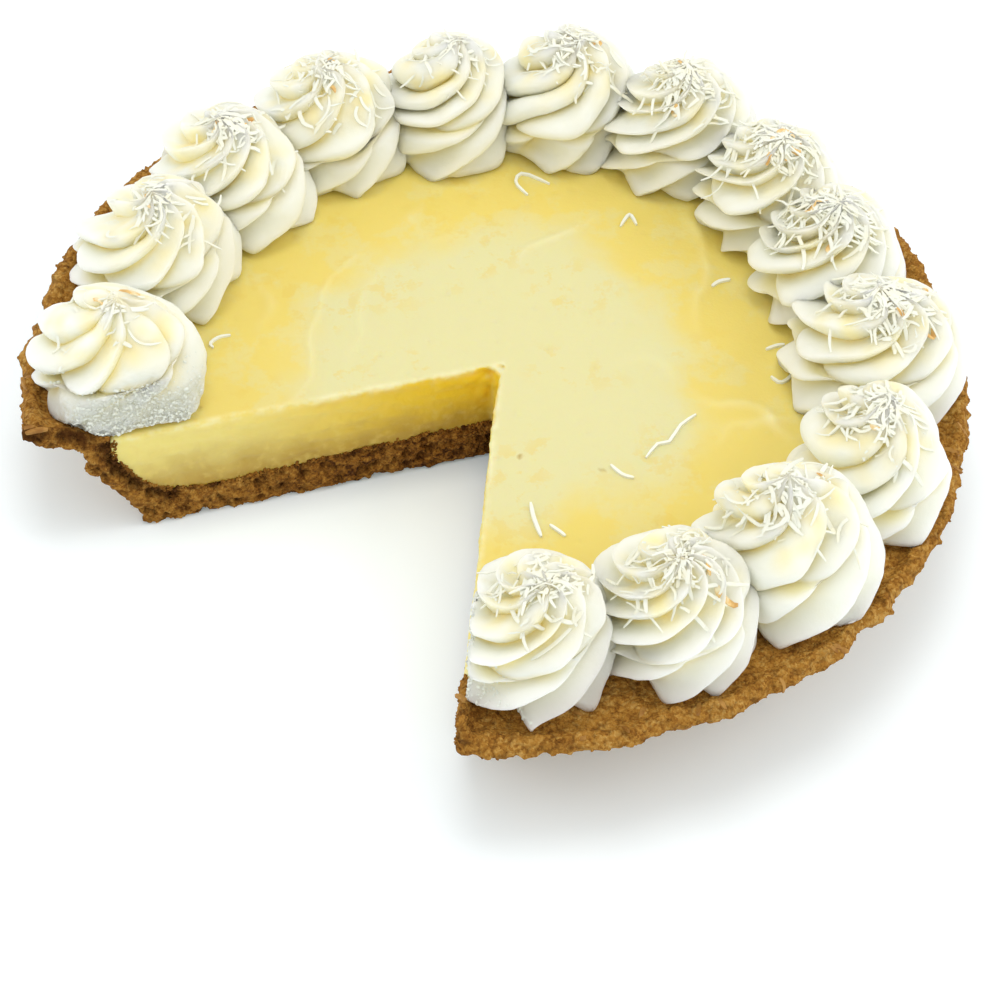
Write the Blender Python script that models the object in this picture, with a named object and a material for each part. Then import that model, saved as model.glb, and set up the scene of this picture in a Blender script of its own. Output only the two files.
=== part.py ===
"""A lemon coconut pie with one wedge cut out.

A crumb crust holds a lemon custard, and a ring of piped cream rosettes with coconut
shreds lies over the crust's rim. The pie stands on z = 0 with its axis on z, and the
missing wedge opens towards -Y.
"""

import math
import random

import bmesh
import bpy
from mathutils import Vector, noise

MM = 0.001

# The wedge that is missing runs from the left cut to the front cut, in degrees about z.
LEFT_CUT = 198.6
FRONT_CUT = 267.5

# Crust: a sloping wall under a flat rim, pressed from crumbs. The wall's belly is given
# as two places on its outer face: the share of the way out and the share of the way up.
RIM_RADIUS = 124.8 * MM
RIM_UNDER_RADIUS = 112 * MM
BASE_RADIUS = 95.6 * MM
WALL_INSIDE_TOP = 103 * MM
WALL_INSIDE_CORNERS = ((102.8 * MM, 27.5 * MM), (95.5 * MM, 16.3 * MM), (89 * MM, 11.6 * MM))
SEAT_HEIGHT = 35 * MM
RIM_THICKNESS = 4.4 * MM
LIP_RADIUS = 120.6 * MM
LIP_SLOPE = 1.8 * MM
LIP_RISE = 1.5 * MM
FLOOR_MIDDLE = 13.4 * MM
FLOOR_CORNERS = ((79 * MM, 10 * MM), (43 * MM, 12 * MM))
CUT_END_LIFT = 7.5 * MM
CUT_END_ARC = 11
WALL_BELLY = ((0.28, 0.33), (0.56, 0.68))
RIM_EDGE_ROUND = 2.2 * MM
RIM_CRAG = 1.6 * MM
WALL_CRAG = 0.9 * MM
CRAG_SPACING = 13 * MM
CRUST_STEPS = 76

# Filling: the custard lies in the crust with a thin gap all round. Half a gap more is
# left at its top edge, where the facets of the round wall come closest.
GAP = 0.3 * MM
CUSTARD_TOP = 34.5 * MM
CUSTARD_SWELL = 0.35 * MM
CUSTARD_EDGE_ROUND = 0.8 * MM
CUSTARD_RINGS = (84 * MM, 56 * MM, 28 * MM)

# Rosettes: a star nozzle's ridges wind up from a wide skirt to a soft peak. Each ridge
# is a leaf with a sharp lower edge, so its crest lies close to the next groove.
ROSETTE_RIDGES = 7
RIDGE_POINTS = ((0.0, 1.0), (0.42, 0.22), (0.86, 0.0))
GROOVE_DEPTH = 5.0 * MM
ROSETTE_TWIST = 0.5
CUT_GAP = 0.15 * MM
BASE_CLEARANCE = 0.35 * MM
BASE_STEEPER = 1.25

# The rows from the skirt to below the peak: reach, height, groove and twist, as shares.
ROSETTE_ROWS = (
    (0.76, 0.00, 0.60, 0.00),
    (0.94, 0.09, 0.90, 0.09),
    (1.00, 0.23, 1.00, 0.20),
    (0.98, 0.38, 1.00, 0.32),
    (0.87, 0.52, 0.95, 0.45),
    (0.71, 0.65, 0.85, 0.58),
    (0.53, 0.77, 0.70, 0.71),
    (0.34, 0.88, 0.48, 0.85),
    (0.15, 0.96, 0.20, 1.00),
)

# Each rosette: its angle in degrees, its distance from the axis, its reach and height.
ROSETTES = (
    (187.0, 98 * MM, 23.5 * MM, 31 * MM),
    (163.5, 97 * MM, 23.5 * MM, 31 * MM),
    (142.0, 96 * MM, 23.5 * MM, 31 * MM),
    (121.5, 97 * MM, 23.5 * MM, 32 * MM),
    (101.0, 92 * MM, 21.0 * MM, 34 * MM),
    (81.5, 98 * MM, 22.0 * MM, 35 * MM),
    (61.3, 99 * MM, 22.0 * MM, 32 * MM),
    (40.5, 97 * MM, 22.5 * MM, 32 * MM),
    (22.0, 95 * MM, 22.0 * MM, 31 * MM),
    (1.5, 98 * MM, 24.5 * MM, 31 * MM),
    (338.0, 102 * MM, 22.0 * MM, 31 * MM),
    (317.5, 99 * MM, 24.0 * MM, 35 * MM),
    (297.5, 97 * MM, 22.5 * MM, 31 * MM),
    (276.5, 97 * MM, 22.0 * MM, 31 * MM),
)

# Coconut shreds: thin strips, fused to the cream and to the custard.
SHRED_WIDTH = 1.5 * MM
SHRED_THICKNESS = 1.0 * MM
SHRED_PARTS = 2
SHREDS_ON_ROSETTE = 5
SHRED_LENGTHS = (8 * MM, 13 * MM)
SHRED_SPREAD = 1.05
SHRED_SINK = 0.15
SHRED_FACES_UP = 0.9
SHRED_BOW = 1.6 * MM
SHRED_PROUD = 0.4 * MM

# The shreds that lie on the custard, each as the middle line seen from above, in mm.
CUSTARD_SHREDS = (
    ((12, 72), (4.5, 76), (2.5, 72), (6, 67)),
    ((32, 56), (34.5, 61), (36.5, 57)),
    ((57, 34), (62, 37)),
    ((71, 11), (76, 13)),
    ((79, 8), (77.5, 2), (74.5, -1), (72, 1)),
    ((52, -14), (48, -18), (45, -24), (42, -25), (39, -30)),
    ((30, -33), (36, -37)),
    ((10, -47), (13, -58)),
)


def clear_scene():
    """Removes whatever the file held."""
    for item in list(bpy.data.objects):
        bpy.data.objects.remove(item, do_unlink=True)


def finish(name, colour, roughness):
    """Returns a plain material with the part's own colour."""
    material = bpy.data.materials.new(name)
    material.use_nodes = True
    shader = material.node_tree.nodes["Principled BSDF"]
    shader.inputs["Base Color"].default_value = (*colour, 1)
    shader.inputs["Roughness"].default_value = roughness
    shader.inputs["Metallic"].default_value = 0
    return material


def polar(radius, angle, height):
    """Returns the point at a radius, an angle in radians and a height."""
    return Vector((radius * math.cos(angle), radius * math.sin(angle), height))


def smooth_step(value, start, end):
    """Rises from 0 at start to 1 at end with level ends."""
    share = min(max((value - start) / (end - start), 0), 1)
    return share * share * (3 - 2 * share)


def blend(start, end, share):
    """Returns the number that lies a share of the way from start to end."""
    return start + (end - start) * share


def solid(name, points, faces, material, sharp_angle=40):
    """Makes one closed object from points and faces."""
    mesh = bpy.data.meshes.new(name)
    mesh.from_pydata([tuple(point) for point in points], [], faces)
    build = bmesh.new()
    build.from_mesh(mesh)
    bmesh.ops.recalc_face_normals(build, faces=build.faces)
    bmesh.ops.triangulate(build, faces=build.faces)
    build.to_mesh(mesh)
    build.free()
    mesh.shade_smooth()
    mesh.set_sharp_from_angle(angle=math.radians(sharp_angle))
    mesh.materials.append(material)
    item = bpy.data.objects.new(name, mesh)
    bpy.context.scene.collection.objects.link(item)
    return item


def turned_angles():
    """Lists the angles of the pie's stations, from the front cut round to the left cut."""
    start = math.radians(FRONT_CUT - 360)
    end = math.radians(LEFT_CUT)
    return [blend(start, end, step / CRUST_STEPS) for step in range(CRUST_STEPS + 1)]


def turned_solid(name, profile, material):
    """Turns a profile round the axis between the two cuts.

    The profile is a function of the angle. It starts and ends on the axis, where all
    stations share a point, and each cut is closed by one face.
    """
    angles = turned_angles()
    rows = [profile(angle) for angle in angles]
    count = len(rows[0]) - 2
    points = [Vector((0, 0, rows[0][0][1])), Vector((0, 0, rows[0][-1][1]))]
    for angle, row in zip(angles, rows):
        points.extend(polar(radius, angle, height) for radius, height in row[1:-1])
    faces = []
    for step in range(len(angles) - 1):
        near = 2 + step * count
        far = near + count
        faces.append((0, near, far))
        for place in range(count - 1):
            faces.append((near + place, near + place + 1, far + place + 1, far + place))
        faces.append((near + count - 1, 1, far + count - 1))
    for step in (0, len(angles) - 1):
        near = 2 + step * count
        faces.append((0, *range(near, near + count), 1))
    return solid(name, points, faces, material)


def crag(angle, seed):
    """Returns a broken number between about -1 and 1 for a place on the crust."""
    place = polar(RIM_RADIUS, angle, 0) / CRAG_SPACING + Vector((0, 0, seed))
    return noise.noise(place) + 0.6 * noise.noise(place * 2.3)


def end_lift(angle):
    """Returns how far the rim is bent up where the left cut ends it."""
    share = smooth_step(math.degrees(angle), LEFT_CUT - CUT_END_ARC, LEFT_CUT)
    return CUT_END_LIFT * share


def rim_rise(radius, angle):
    """Returns how far the rim's top lies above the seat of the rosettes."""
    lip = LIP_RISE * smooth_step(radius, LIP_RADIUS - LIP_SLOPE, LIP_RADIUS)
    lift = end_lift(angle) * smooth_step(radius, WALL_INSIDE_TOP, RIM_RADIUS)
    return lip + lift


def crust_profile(angle):
    """Returns the crust's section at an angle, from the axis under the base and back."""
    edge = RIM_RADIUS + RIM_CRAG * crag(angle, 3)
    chip = WALL_CRAG * crag(angle, 11)
    low = WALL_CRAG * crag(angle, 23)
    under = SEAT_HEIGHT - RIM_THICKNESS
    lift = end_lift(angle)
    belly = [(blend(BASE_RADIUS, RIM_UNDER_RADIUS, out) + bump, up * under)
             for (out, up), bump in zip(WALL_BELLY, (low, chip))]
    seat_radii = (LIP_RADIUS - LIP_SLOPE, RIM_UNDER_RADIUS - LIP_SLOPE)
    return [
        (0, 0),
        (BASE_RADIUS + low / 2, 0),
        *belly,
        (RIM_UNDER_RADIUS, under + lift / 2),
        (edge - RIM_EDGE_ROUND, under + lift + chip / 2),
        (edge, under + RIM_THICKNESS / 2 + lift),
        (edge - RIM_EDGE_ROUND, SEAT_HEIGHT + LIP_RISE + lift + chip),
        (LIP_RADIUS, SEAT_HEIGHT + rim_rise(LIP_RADIUS, angle) + low / 2),
        *[(radius, SEAT_HEIGHT + rim_rise(radius, angle)) for radius in seat_radii],
        (WALL_INSIDE_TOP, SEAT_HEIGHT),
        *WALL_INSIDE_CORNERS,
        *FLOOR_CORNERS,
        (0, FLOOR_MIDDLE),
    ]


def custard_height(radius, angle):
    """Returns the height of the custard's faintly uneven top."""
    place = polar(radius, angle, 0) / (42 * MM) + Vector((0, 0, 5))
    return CUSTARD_TOP + CUSTARD_SWELL * noise.noise(place)


def custard_profile(angle):
    """Returns the custard's section at an angle, from the axis under it and back."""
    belly, *foot = WALL_INSIDE_CORNERS
    edge = belly[0] - 1.5 * GAP
    floor = [
        (0, FLOOR_MIDDLE + GAP),
        *[(radius, height + GAP) for radius, height in reversed(FLOOR_CORNERS)],
        *[(radius - GAP, height + GAP) for radius, height in reversed(foot)],
        (edge, belly[1] + GAP),
        (edge, CUSTARD_TOP - CUSTARD_EDGE_ROUND),
        (edge - CUSTARD_EDGE_ROUND, CUSTARD_TOP),
    ]
    top = [(radius, custard_height(radius, angle)) for radius in CUSTARD_RINGS]
    return floor + top + [(0, CUSTARD_TOP)]


def side_planes(number):
    """Lists what bounds a rosette: the planes half way to its neighbours, and the cuts.

    Each plane is an outward normal. All of them hold the pie's axis.
    """
    angle = math.radians(ROSETTES[number][0])
    planes = []
    for step, turn in ((-1, 90), (1, -90)):
        other = number + step
        if 0 <= other < len(ROSETTES):
            half = math.radians(ROSETTES[other][0] - ROSETTES[number][0])
            half = math.atan2(math.sin(half), math.cos(half)) / 2
            edge = angle + half
        else:
            edge = math.radians(LEFT_CUT if step < 0 else FRONT_CUT)
        planes.append(polar(1, edge + math.radians(turn), 0))
    return planes


def held_inside(point, centre, planes):
    """Pulls a point towards its rosette's axis until it lies inside every plane."""
    for normal in planes:
        over = point.dot(normal) + CUT_GAP
        if over > 0:
            reach = (point - centre).dot(normal)
            middle = Vector((centre.x, centre.y, point.z))
            point = point + (middle - point) * (over / reach)
    return point


def seat(point):
    """Returns the lowest height that a rosette may have at a point."""
    radius = math.hypot(point.x, point.y)
    angle = math.atan2(point.y, point.x)
    if angle < math.radians(FRONT_CUT - 360):
        angle += math.tau
    return SEAT_HEIGHT + BASE_CLEARANCE + BASE_STEEPER * rim_rise(radius + LIP_SLOPE, angle)


class Rosette:
    """The sizes of one rosette and the places on its surface."""

    def __init__(self, number):
        draw = random.Random(100 + number)
        angle, distance, self.reach, self.height = ROSETTES[number]
        self.centre = polar(distance, math.radians(angle), 0)
        self.planes = side_planes(number)
        self.start = draw.uniform(0, math.tau)
        self.twist = math.tau * ROSETTE_TWIST * draw.uniform(0.9, 1.1)
        self.lean = polar(draw.uniform(0.5, 2.4) * MM, draw.uniform(0, math.tau), 0)
        self.oval = draw.uniform(0.01, 0.04)
        self.oval_turn = draw.uniform(0, math.tau)

    def place(self, share, turn, groove):
        """Returns the surface point at a share of the rows, a turn and a groove depth."""
        row = share * (len(ROSETTE_ROWS) - 1)
        below = min(int(row), len(ROSETTE_ROWS) - 2)
        low, high = ROSETTE_ROWS[below], ROSETTE_ROWS[below + 1]
        reach, height, cut, twist = (blend(a, b, row - below) for a, b in zip(low, high))
        turned = self.start + turn + self.twist * twist
        stretch = 1 + self.oval * math.cos(2 * (turned - self.oval_turn))
        radius = self.reach * reach * stretch - GROOVE_DEPTH * cut * groove
        point = self.centre + polar(radius, turned, SEAT_HEIGHT + self.height * height)
        point = held_inside(point + self.lean * height, self.centre, self.planes)
        point.z = max(point.z, seat(point))
        return point

    def turn_to(self, share, angle):
        """Returns the turn at which a row's surface faces a direction."""
        row = share * (len(ROSETTE_ROWS) - 1)
        below = min(int(row), len(ROSETTE_ROWS) - 2)
        twist = blend(ROSETTE_ROWS[below][3], ROSETTE_ROWS[below + 1][3], row - below)
        return angle - self.start - self.twist * twist


def rosette(number, material):
    """Makes one rosette: rows of ridge and groove points, wound up to the peak."""
    form = Rosette(number)
    columns = len(RIDGE_POINTS) * ROSETTE_RIDGES
    rows = len(ROSETTE_ROWS)
    points = []
    for row in range(rows):
        for ridge in range(ROSETTE_RIDGES):
            for across, groove in RIDGE_POINTS:
                turn = math.tau * (ridge + across) / ROSETTE_RIDGES
                points.append(form.place(row / (rows - 1), turn, groove))
    faces = []
    for row in range(rows - 1):
        for column in range(columns):
            near = row * columns + column
            after = row * columns + (column + 1) % columns
            faces.append((near, after, after + columns, near + columns))
    foot = form.centre.copy()
    foot.z = seat(foot)
    peak = form.centre + form.lean
    peak.z = SEAT_HEIGHT + form.height
    points.extend((foot, peak))
    top = (rows - 1) * columns
    for column in range(columns):
        after = (column + 1) % columns
        faces.append((after, column, len(points) - 2))
        faces.append((top + column, top + after, len(points) - 1))
    item = solid(f"rosette_{number + 1:02d}", points, faces, material, 75)
    fuse(item, rosette_shreds(form, number))
    return item


def strip(path, up, collection):
    """Makes one shred: a thin four-sided strip along a path."""
    points = []
    for place, point in enumerate(path):
        before = path[max(place - 1, 0)]
        after = path[min(place + 1, len(path) - 1)]
        side = (after - before).cross(up).normalized() * SHRED_WIDTH / 2
        rise = up * SHRED_THICKNESS / 2
        points.extend((point - side - rise, point + side - rise,
                       point + side + rise, point - side + rise))
    faces = [(3, 2, 1, 0), tuple(range(len(points) - 4, len(points)))]
    for place in range(len(path) - 1):
        near = 4 * place
        for corner in range(4):
            after = (corner + 1) % 4
            faces.append((near + corner, near + after, near + after + 4, near + corner + 4))
    mesh = bpy.data.meshes.new("shred")
    mesh.from_pydata([tuple(point) for point in points], [], faces)
    build = bmesh.new()
    build.from_mesh(mesh)
    bmesh.ops.recalc_face_normals(build, faces=build.faces)
    bmesh.ops.triangulate(build, faces=build.faces)
    build.to_mesh(mesh)
    build.free()
    item = bpy.data.objects.new("shred", mesh)
    collection.objects.link(item)


def kept_clear(path, planes):
    """Moves a shred's path until its whole width lies inside every plane."""
    for normal in planes:
        over = max(point.dot(normal) for point in path) + CUT_GAP + SHRED_WIDTH
        if over > 0:
            path = [point - normal * over for point in path]
    return path


def rosette_shreds(form, number):
    """Lays shreds over a rosette's upper ridges, their ends sunk in the cream."""
    draw = random.Random(300 + number)
    collection = bpy.data.collections.new("shreds")
    bpy.context.scene.collection.children.link(collection)
    inward = math.atan2(-form.centre.y, -form.centre.x)
    for count in range(SHREDS_ON_ROSETTE):
        share = draw.uniform(0.5, 0.72)
        wanted = inward + (count - (SHREDS_ON_ROSETTE - 1) / 2) * SHRED_SPREAD
        wanted += draw.uniform(-0.2, 0.2)
        middle = form.place(share, form.turn_to(share, wanted), SHRED_SINK)
        up = middle - form.centre
        up.z = 0
        up = (up.normalized() + Vector((0, 0, SHRED_FACES_UP))).normalized()
        along = up.cross(Vector((0, 0, 1))).normalized()
        across = up.cross(along)
        tilt = draw.uniform(-0.9, 0.9)
        line = along * math.cos(tilt) + across * math.sin(tilt)
        length = draw.uniform(*SHRED_LENGTHS)
        path = []
        for place in range(SHRED_PARTS + 1):
            way = 2 * place / SHRED_PARTS - 1
            bow = SHRED_BOW * way * way - SHRED_PROUD
            path.append(middle + line * (length * way / 2) - up * bow)
        strip(kept_clear(path, form.planes), up, collection)
    return collection


def custard_shreds():
    """Lays the shreds that show on the custard, half sunk in its top."""
    collection = bpy.data.collections.new("shreds")
    bpy.context.scene.collection.children.link(collection)
    for line in CUSTARD_SHREDS:
        path = []
        for x, y in line:
            height = custard_height(math.hypot(x, y) * MM, math.atan2(y, x))
            path.append(Vector((x * MM, y * MM, height + 0.1 * MM)))
        strip(path, Vector((0, 0, 1)), collection)
    return collection


def fuse(item, collection):
    """Joins a collection of shreds to the solid that they lie on."""
    union = item.modifiers.new("shreds", "BOOLEAN")
    union.operation = "UNION"
    union.operand_type = "COLLECTION"
    union.collection = collection
    union.solver = "EXACT"
    graph = bpy.context.evaluated_depsgraph_get()
    joined = bpy.data.meshes.new_from_object(item.evaluated_get(graph))
    item.modifiers.clear()
    item.data = joined
    for shred in list(collection.objects):
        bpy.data.objects.remove(shred, do_unlink=True)
    bpy.data.collections.remove(collection)


def main():
    """Builds the pie."""
    clear_scene()
    turned_solid("crust", crust_profile, finish("crumb_crust", (0.36, 0.17, 0.05), 0.85))
    custard = finish("lemon_custard", (0.86, 0.72, 0.28), 0.45)
    fuse(turned_solid("filling", custard_profile, custard), custard_shreds())
    cream = finish("whipped_cream", (0.88, 0.86, 0.76), 0.6)
    for number in range(len(ROSETTES)):
        rosette(number, cream)


main()
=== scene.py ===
"""A lemon coconut pie with one wedge cut out, dressed for the camera.

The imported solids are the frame. Every one of them is replaced here by a finer mesh of
the same form: the crumb crust, the lemon custard and the fourteen piped rosettes. Loose
crumbs and coconut shreds lie on them.
"""

import logging
import math
import random
from dataclasses import dataclass, field
from enum import Enum
from typing import Callable, Iterable, Optional, Sequence, Union

import bpy
from mathutils import Matrix, Vector, noise
from mathutils.bvhtree import BVHTree


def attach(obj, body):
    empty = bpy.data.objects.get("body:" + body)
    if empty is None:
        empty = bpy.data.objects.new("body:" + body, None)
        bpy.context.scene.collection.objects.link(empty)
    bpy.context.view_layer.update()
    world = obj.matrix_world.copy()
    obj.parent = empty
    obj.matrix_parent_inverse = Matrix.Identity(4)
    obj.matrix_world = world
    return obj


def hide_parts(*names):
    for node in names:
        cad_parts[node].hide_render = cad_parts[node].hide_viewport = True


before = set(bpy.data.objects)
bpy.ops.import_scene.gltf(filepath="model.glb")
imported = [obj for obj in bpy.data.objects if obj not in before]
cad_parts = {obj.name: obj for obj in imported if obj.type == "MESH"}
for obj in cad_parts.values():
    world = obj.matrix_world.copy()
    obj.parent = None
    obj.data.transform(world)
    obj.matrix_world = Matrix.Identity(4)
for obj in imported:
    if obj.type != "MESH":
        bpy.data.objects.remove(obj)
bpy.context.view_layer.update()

MM = 0.001
LEFT_CUT = 198.6
FRONT_CUT = 267.5
SEAT_HEIGHT = 35 * MM
BODY = "root"

# Without a seed, noise_vector would give another shape each run.
noise.seed_set(7)

DOWN = Vector((0, 0, -1))

# Past this many mm a stroke has no effect on the custard.
FAR_OFF = 16

# The angles in radians that the pie runs from and to, past the back.
PIE_START = math.radians(FRONT_CUT - 360)
PIE_END = math.radians(LEFT_CUT)

logging.basicConfig(level=logging.INFO, format="%(message)s")
log = logging.getLogger("pie")

# How far a crumb may reach along its three axes, as shares of its half width.
CRUMB_SPANS = ((0.7, 1.4), (0.7, 1.1), (0.55, 1))

# A place with the outward direction of the surface there is a Spot.
Colour = tuple[float, float, float]
Place = tuple[float, float]
Spot = tuple[Vector, Vector]
Tooth = tuple[int, float, list[float], list[float], list[float]]
Source = Union["Value", bpy.types.NodeSocket, float, tuple]


class Toast(Enum):
    """How far a coconut shred was toasted."""

    WHITE = "white"
    GOLDEN = "golden"
    BAKED = "baked"


class Side(Enum):
    """The two cuts that bound the missing wedge."""

    LEFT = LEFT_CUT
    FRONT = FRONT_CUT


def blend(start: float, end: float, share: float) -> float:
    """Returns the number that lies a share of the way from start to end."""
    return start + (end - start) * share


def smooth_step(value: float, start: float, end: float) -> float:
    """Rises from 0 at start to 1 at end with level ends.

    Args:
        value: The place to look at.
        start: Where the rise begins.
        end: Where the rise ends. It may lie below start, for a fall.

    Returns:
        A number from 0 to 1.
    """
    share = min(max((value - start) / (end - start), 0.0), 1.0)
    return share * share * (3 - 2 * share)


def polar(radius: float, angle: float, height: float = 0.0) -> Vector:
    """Returns the point at a radius, an angle in radians and a height."""
    return Vector((radius * math.cos(angle), radius * math.sin(angle), height))


def pie_angle(point: Vector) -> float:
    """Returns a point's angle in radians, counted from the front cut to the left cut."""
    angle = math.atan2(point.y, point.x)
    return angle + math.tau if angle < PIE_START else angle


def cut_normal(side: Side) -> Vector:
    """Returns the outward normal of a cut face."""
    turn = 90 if side is Side.LEFT else -90
    return polar(1, math.radians(side.value + turn))


def past_cut(point: Vector) -> float:
    """Returns how far a point lies outside the pie's cut faces, below 0 inside the pie."""
    return min(point.dot(cut_normal(side)) for side in Side)


def nearest_cut(point: Vector) -> Side:
    """Returns the cut that past_cut measures a point from."""
    return min(Side, key=lambda side: point.dot(cut_normal(side)))


def cut_angle(side: Side) -> float:
    """Returns a cut's angle in radians, counted as pie_angle does."""
    return math.radians(side.value) - (math.tau if side is Side.FRONT else 0)


def beside(place: Place, start: Place, end: Place) -> tuple[float, float]:
    """Measures a place against the line between two others.

    Args:
        place: The place.
        start: Where the line starts.
        end: Where the line ends.

    Returns:
        The share of the line up to the place, and the place's distance from the line.
    """
    dx, dy = end[0] - start[0], end[1] - start[1]
    x, y = place[0] - start[0], place[1] - start[1]
    share = min(max((x * dx + y * dy) / (dx * dx + dy * dy), 0.0), 1.0)
    return share, math.hypot(x - dx * share, y - dy * share)


def spline(rows: Sequence[tuple[float, ...]], share: float) -> list[float]:
    """Reads a smooth curve through rows of numbers.

    Args:
        rows: The rows, evenly spaced along the curve.
        share: The place on the curve, from 0 to 1.

    Returns:
        The numbers at that place.
    """
    place = min(max(share, 0.0), 1.0) * (len(rows) - 1)
    low = min(int(place), len(rows) - 2)
    part = place - low
    near = [rows[min(max(low + step, 0), len(rows) - 1)] for step in (-1, 0, 1, 2)]
    values = []
    for before, start, end, after in zip(*near):
        bend = 2 * start + (end - before) * part
        bend += (2 * before - 5 * start + 4 * end - after) * part ** 2
        bend += (3 * start - before - 3 * end + after) * part ** 3
        values.append(bend / 2)
    return values


class Value:
    """A number socket that shader maths is written with."""

    def __init__(self, book: "Book", socket: Source) -> None:
        """Wraps a socket or number of one book."""
        self.book = book
        self.socket = socket

    def _with(self, operation: str, first: Source, second: Source = 0.0) -> "Value":
        """Adds one Math node and returns its result."""
        made = self.book.node("ShaderNodeMath", {"operation": operation}, {0: first, 1: second})
        return Value(self.book, made.outputs[0])

    def __add__(self, other: Source) -> "Value":
        """Returns the sum."""
        return self._with("ADD", self, other)

    def __sub__(self, other: Source) -> "Value":
        """Returns the difference."""
        return self._with("SUBTRACT", self, other)

    def __rsub__(self, other: Source) -> "Value":
        """Returns the difference of a number and this value."""
        return self._with("SUBTRACT", other, self)

    def __mul__(self, other: Source) -> "Value":
        """Returns the product."""
        return self._with("MULTIPLY", self, other)

    def between(self, low: float, high: float) -> "Value":
        """Returns 0 below low, 1 above high and a smooth rise between them."""
        settings = {"interpolation_type": "SMOOTHSTEP"}
        made = self.book.node("ShaderNodeMapRange", settings, {0: self, 1: low, 2: high})
        return Value(self.book, made.outputs[0])


class Book:
    """The node tree of one material."""

    def __init__(self, name: str) -> None:
        """Starts a material with its plain shader."""
        self.material = bpy.data.materials.new(name)
        self.material.use_nodes = True
        self.tree = self.material.node_tree
        self.shader = self.tree.nodes["Principled BSDF"]

    def node(self, kind: str, settings: dict, inputs: dict) -> bpy.types.Node:
        """Adds one node.

        Args:
            kind: The node's type.
            settings: Its own settings, such as an operation or a ramp's stops.
            inputs: Values or links for its sockets, by name or number.

        Returns:
            The node.
        """
        made = self.tree.nodes.new(kind)
        for name, setting in settings.items():
            if name == "stops":
                self._set_stops(made, setting)
            else:
                setattr(made, name, setting)
        for name, source in inputs.items():
            self.feed(made.inputs[name], source)
        return made

    @staticmethod
    def _set_stops(made: bpy.types.Node, stops: Sequence[tuple[float, Colour]]) -> None:
        """Gives a colour ramp its stops."""
        ramp = made.color_ramp.elements
        while len(ramp) < len(stops):
            ramp.new(0.5)
        for element, (place, colour) in zip(ramp, stops):
            element.position = place
            element.color = (*colour, 1)

    def feed(self, socket: bpy.types.NodeSocket, source: Source) -> None:
        """Sets a socket to a number or colour, or links it."""
        if isinstance(source, Value):
            source = source.socket
        if isinstance(source, bpy.types.NodeSocket):
            self.tree.links.new(source, socket)
        elif isinstance(source, tuple) and len(source) == 3 and socket.type == "RGBA":
            socket.default_value = (*source, 1)
        else:
            socket.default_value = source

    def place(self) -> bpy.types.NodeSocket:
        """Returns the coordinates of the object's own space."""
        return self.node("ShaderNodeTexCoord", {}, {}).outputs["Object"]

    def warped(self, size: float, push: float) -> bpy.types.NodeSocket:
        """Returns the coordinates with soft noise added.

        Args:
            size: The size of the noise, in metres.
            push: How far it moves a place, in metres.
        """
        inputs = {"Vector": self.place(), "Scale": 1 / size, "Detail": 2.0}
        cloud = self.node("ShaderNodeTexNoise", {}, inputs).outputs["Color"]
        shift = self.node("ShaderNodeVectorMath", {"operation": "MULTIPLY_ADD"},
                          {0: cloud, 1: (2 * push,) * 3, 2: (-push,) * 3})
        added = self.node("ShaderNodeVectorMath", {"operation": "ADD"},
                          {0: self.place(), 1: shift.outputs[0]})
        return added.outputs[0]

    def height(self) -> Value:
        """Returns the height above the floor, in metres."""
        made = self.node("ShaderNodeSeparateXYZ", {}, {0: self.place()})
        return Value(self, made.outputs[2])

    def noise(self, size: float, detail: float = 3.0, rough: float = 0.5) -> Value:
        """Returns soft noise from 0 to 1.

        Args:
            size: The size of its patches, in metres.
            detail: How many finer layers it has.
            rough: How strong the finer layers are.
        """
        inputs = {"Vector": self.place(), "Scale": 1 / size, "Detail": detail, "Roughness": rough}
        made = self.node("ShaderNodeTexNoise", {}, inputs)
        return Value(self, made.outputs[0])

    def grains(self, size: float) -> tuple[Value, Value]:
        """Returns a pattern of grains.

        Args:
            size: The size of a grain, in metres.

        Returns:
            The distance from the grain's middle, and a random number for each grain.
        """
        inputs = {"Vector": self.warped(0.9 * size, 0.5 * size), "Scale": 1 / size}
        made = self.node("ShaderNodeTexVoronoi", {"feature": "F1"}, inputs)
        split = self.node("ShaderNodeSeparateColor", {}, {0: made.outputs["Color"]})
        return Value(self, made.outputs["Distance"]), Value(self, split.outputs[0])

    def attribute(self, name: str) -> Value:
        """Returns a number that the mesh carries at its points."""
        made = self.node("ShaderNodeAttribute", {"attribute_name": name}, {})
        return Value(self, made.outputs["Fac"])

    def mix(self, share: Source, first: Source, second: Source) -> bpy.types.NodeSocket:
        """Returns a blend of two colours."""
        inputs = {0: share, 6: first, 7: second}
        return self.node("ShaderNodeMix", {"data_type": "RGBA"}, inputs).outputs[2]

    def ramp(self, share: Source, stops: Sequence[tuple[float, Colour]]) -> bpy.types.NodeSocket:
        """Returns the colour at a share along some stops."""
        return self.node("ShaderNodeValToRGB", {"stops": stops}, {0: share}).outputs[0]

    def bump(self, height: Value, distance: float, strength: float = 1.0) -> None:
        """Feeds the shader's normal from a height.

        Args:
            height: The relief, about 0 to 1.
            distance: How high 1 stands, in metres.
            strength: How much of it shows.
        """
        inputs = {"Height": height, "Distance": distance, "Strength": strength}
        made = self.node("ShaderNodeBump", {}, inputs)
        self.tree.links.new(made.outputs[0], self.shader.inputs["Normal"])

    def set(self, **constants: Union[float, Colour]) -> None:
        """Sets constants on the shader's own sockets, named with _ for a space."""
        for name, constant in constants.items():
            self.feed(self.shader.inputs[name.replace("_", " ")], constant)


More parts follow.
